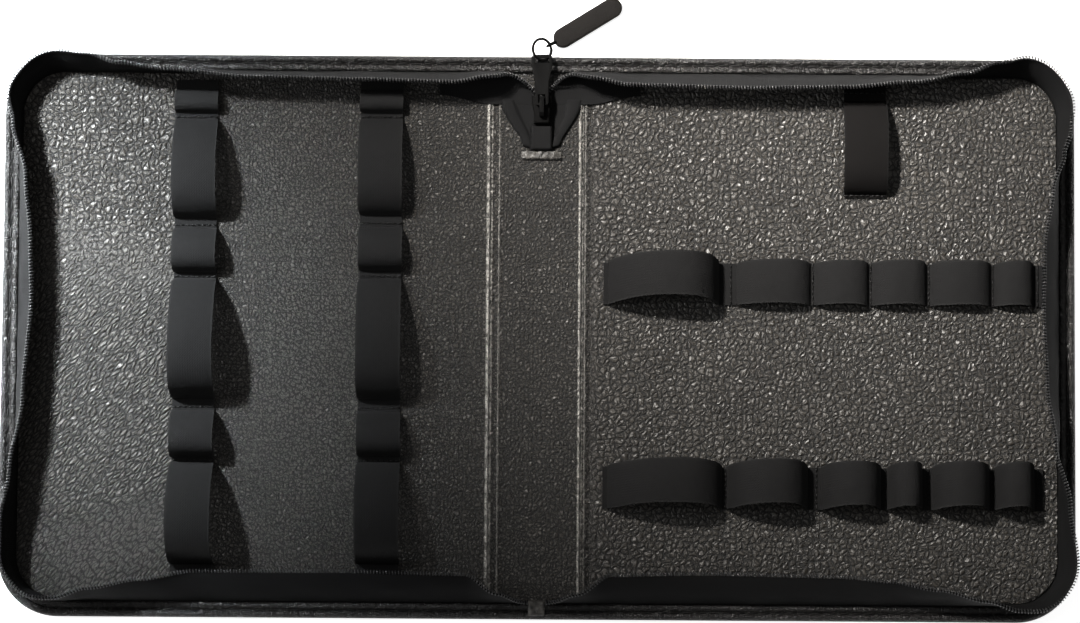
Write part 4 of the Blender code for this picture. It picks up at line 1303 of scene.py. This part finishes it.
def circleLine(centre, turn, radius, steps):
    return [centre + turn @ (direction(2 * math.pi * step / steps) * radius) for step in range(steps)]


def makePull():
    low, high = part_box("pull_ring")
    centre = (low + high) / 2
    radius = (high.y - low.y) / 2 - pull["ringWire"]
    roll = Matrix.Rotation(pull["ringRoll"], 3, "Y")
    circle = circleLine(centre, roll, radius, pull["ringSteps"])
    finishPiece(wireMesh("pullRing", [(circle, pull["ringWire"], True)]), "black_metal", "pull_ring")
    aim = pull["tabAngle"]
    heading = direction(aim)
    held = centre + roll @ (heading * radius)
    upright = Matrix.Rotation(aim, 3, "Z") @ Matrix.Rotation(math.radians(90), 3, "X")
    tabStart = held + heading * pull["tabGap"]
    tabStart.z = pull["stemHeight"]
    reach = pull["eyeRadius"] * 0.75
    stem = [held + heading * reach - up(reach), tabStart + heading * pull["stemReach"]]
    eye = wireMesh("pullEye", [
        (circleLine(held, upright, pull["eyeRadius"], pull["eyeSteps"]), pull["eyeWire"], True),
        (stem, pull["stemWire"], False),
    ])
    finishPiece(eye, "black_metal", "pull_eye")


def makeTab():
    low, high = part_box("pull_tab")
    middle = Vector((*((low + high) / 2).xy, 0.0))
    turn = Matrix.Rotation(pull["tabAngle"], 3, "Z")
    levels = []
    for step in range(pull["roundSteps"] + 1):
        spot = direction(math.pi / 2 * step / pull["roundSteps"])
        levels.append((pull["tabRound"] * (1 - spot.y), pull["tabRound"] * (1 - spot.x)))
    levels += [(inset, pull["tabThickness"] - height) for inset, height in reversed(levels)]
    half = pull["tabWidth"] / 2
    points = []
    for inset, height in levels:
        for end in (1, -1):
            for step in range(pull["endSteps"] + 1):
                out = direction(math.pi * (step / pull["endSteps"] - 0.5)) * (half - inset)
                out.x += pull["tabLength"] / 2 - half
                points.append(middle + turn @ out * end + up(height))
    count = len(points) // len(levels)
    tab = pieceFrom("pullTab", points, stackFaces(count, len(levels)), "tabRubber", sharp=50)
    finishPiece(tab, "tab_rubber", "pull_tab")


makePull()
makeTab()

# Floor and light
studio = {
    "floorHalf": 3.0,
    "floorDrop": -0.2 * mm,
    "floorColour": (0.92, 0.92, 0.92, 1.0),
    "floorGlow": 0.95,
    "worldColour": (1.0, 0.99, 0.97, 1.0),
    "worldStrength": 0.13,
}
# place, aim, size, power, colour, spread in degrees
lights = {
    "leftKey": ((-0.70, 0.46, 0.72), (-0.258, 0.05, 0.0), (0.09, 0.09), 0.95, (0.92, 0.97, 1.0), 20),
    "rightSpot": ((-0.46, 0.56, 0.90), (0.13, 0.115, 0.0), (0.10, 0.10), 1.0, (1.0, 0.965, 0.92), 26),
    "leftStrip": ((-0.85, 0.0, 0.26), (-0.24, 0.0, 0.0), (0.08, 0.50), 1.8, (1.0, 1.0, 1.0), 180),
    "leftSoftbox": ((-0.46, 0.16, 0.90), (-0.46, 0.16, 0.0), (0.34, 0.56), 0.5, (1.0, 1.0, 1.0), 180),
    "rightSoftbox": ((0.28, 0.26, 0.90), (0.28, 0.26, 0.0), (0.36, 0.38), 0.35, (1.0, 1.0, 1.0), 180),
}


def makeFloor():
    half = studio["floorHalf"]
    sides = ((-half, -half), (half, -half), (half, half), (-half, half))
    corners = [(x, y, studio["floorDrop"]) for x, y in sides]
    floor = pieceFrom("floor", corners, [(0, 1, 2, 3)], turnOut=False)
    finish, tree, shader = newFinish("paleFloor")
    feed(shader, {
        "Base Color": studio["floorColour"], "Roughness": 0.8,
        "Emission Color": studio["floorColour"], "Emission Strength": studio["floorGlow"],
    })
    floor.data.materials.append(finish)


def makeLight(name, place, aim, size, power, colour, spread):
    data = bpy.data.lights.new(name, "AREA")
    data.spread = math.radians(spread)
    data.shape = "RECTANGLE"
    data.size, data.size_y = size
    data.energy = power
    data.color = colour
    light = addObject(name, data)
    light.location = place
    light.rotation_mode = "QUATERNION"
    light.rotation_quaternion = (Vector(aim) - Vector(place)).to_track_quat("-Z", "Y")


def makeStudio():
    makeFloor()
    world = bpy.data.worlds.new("studio")
    world.use_nodes = True
    feed(world.node_tree.nodes["Background"].inputs, {
        "Color": studio["worldColour"], "Strength": studio["worldStrength"],
    })
    bpy.context.scene.world = world
    for name, light in lights.items():
        makeLight(name, *light)
    bpy.context.scene.view_settings.view_transform = "Standard"


makeStudio()
print("studio made")
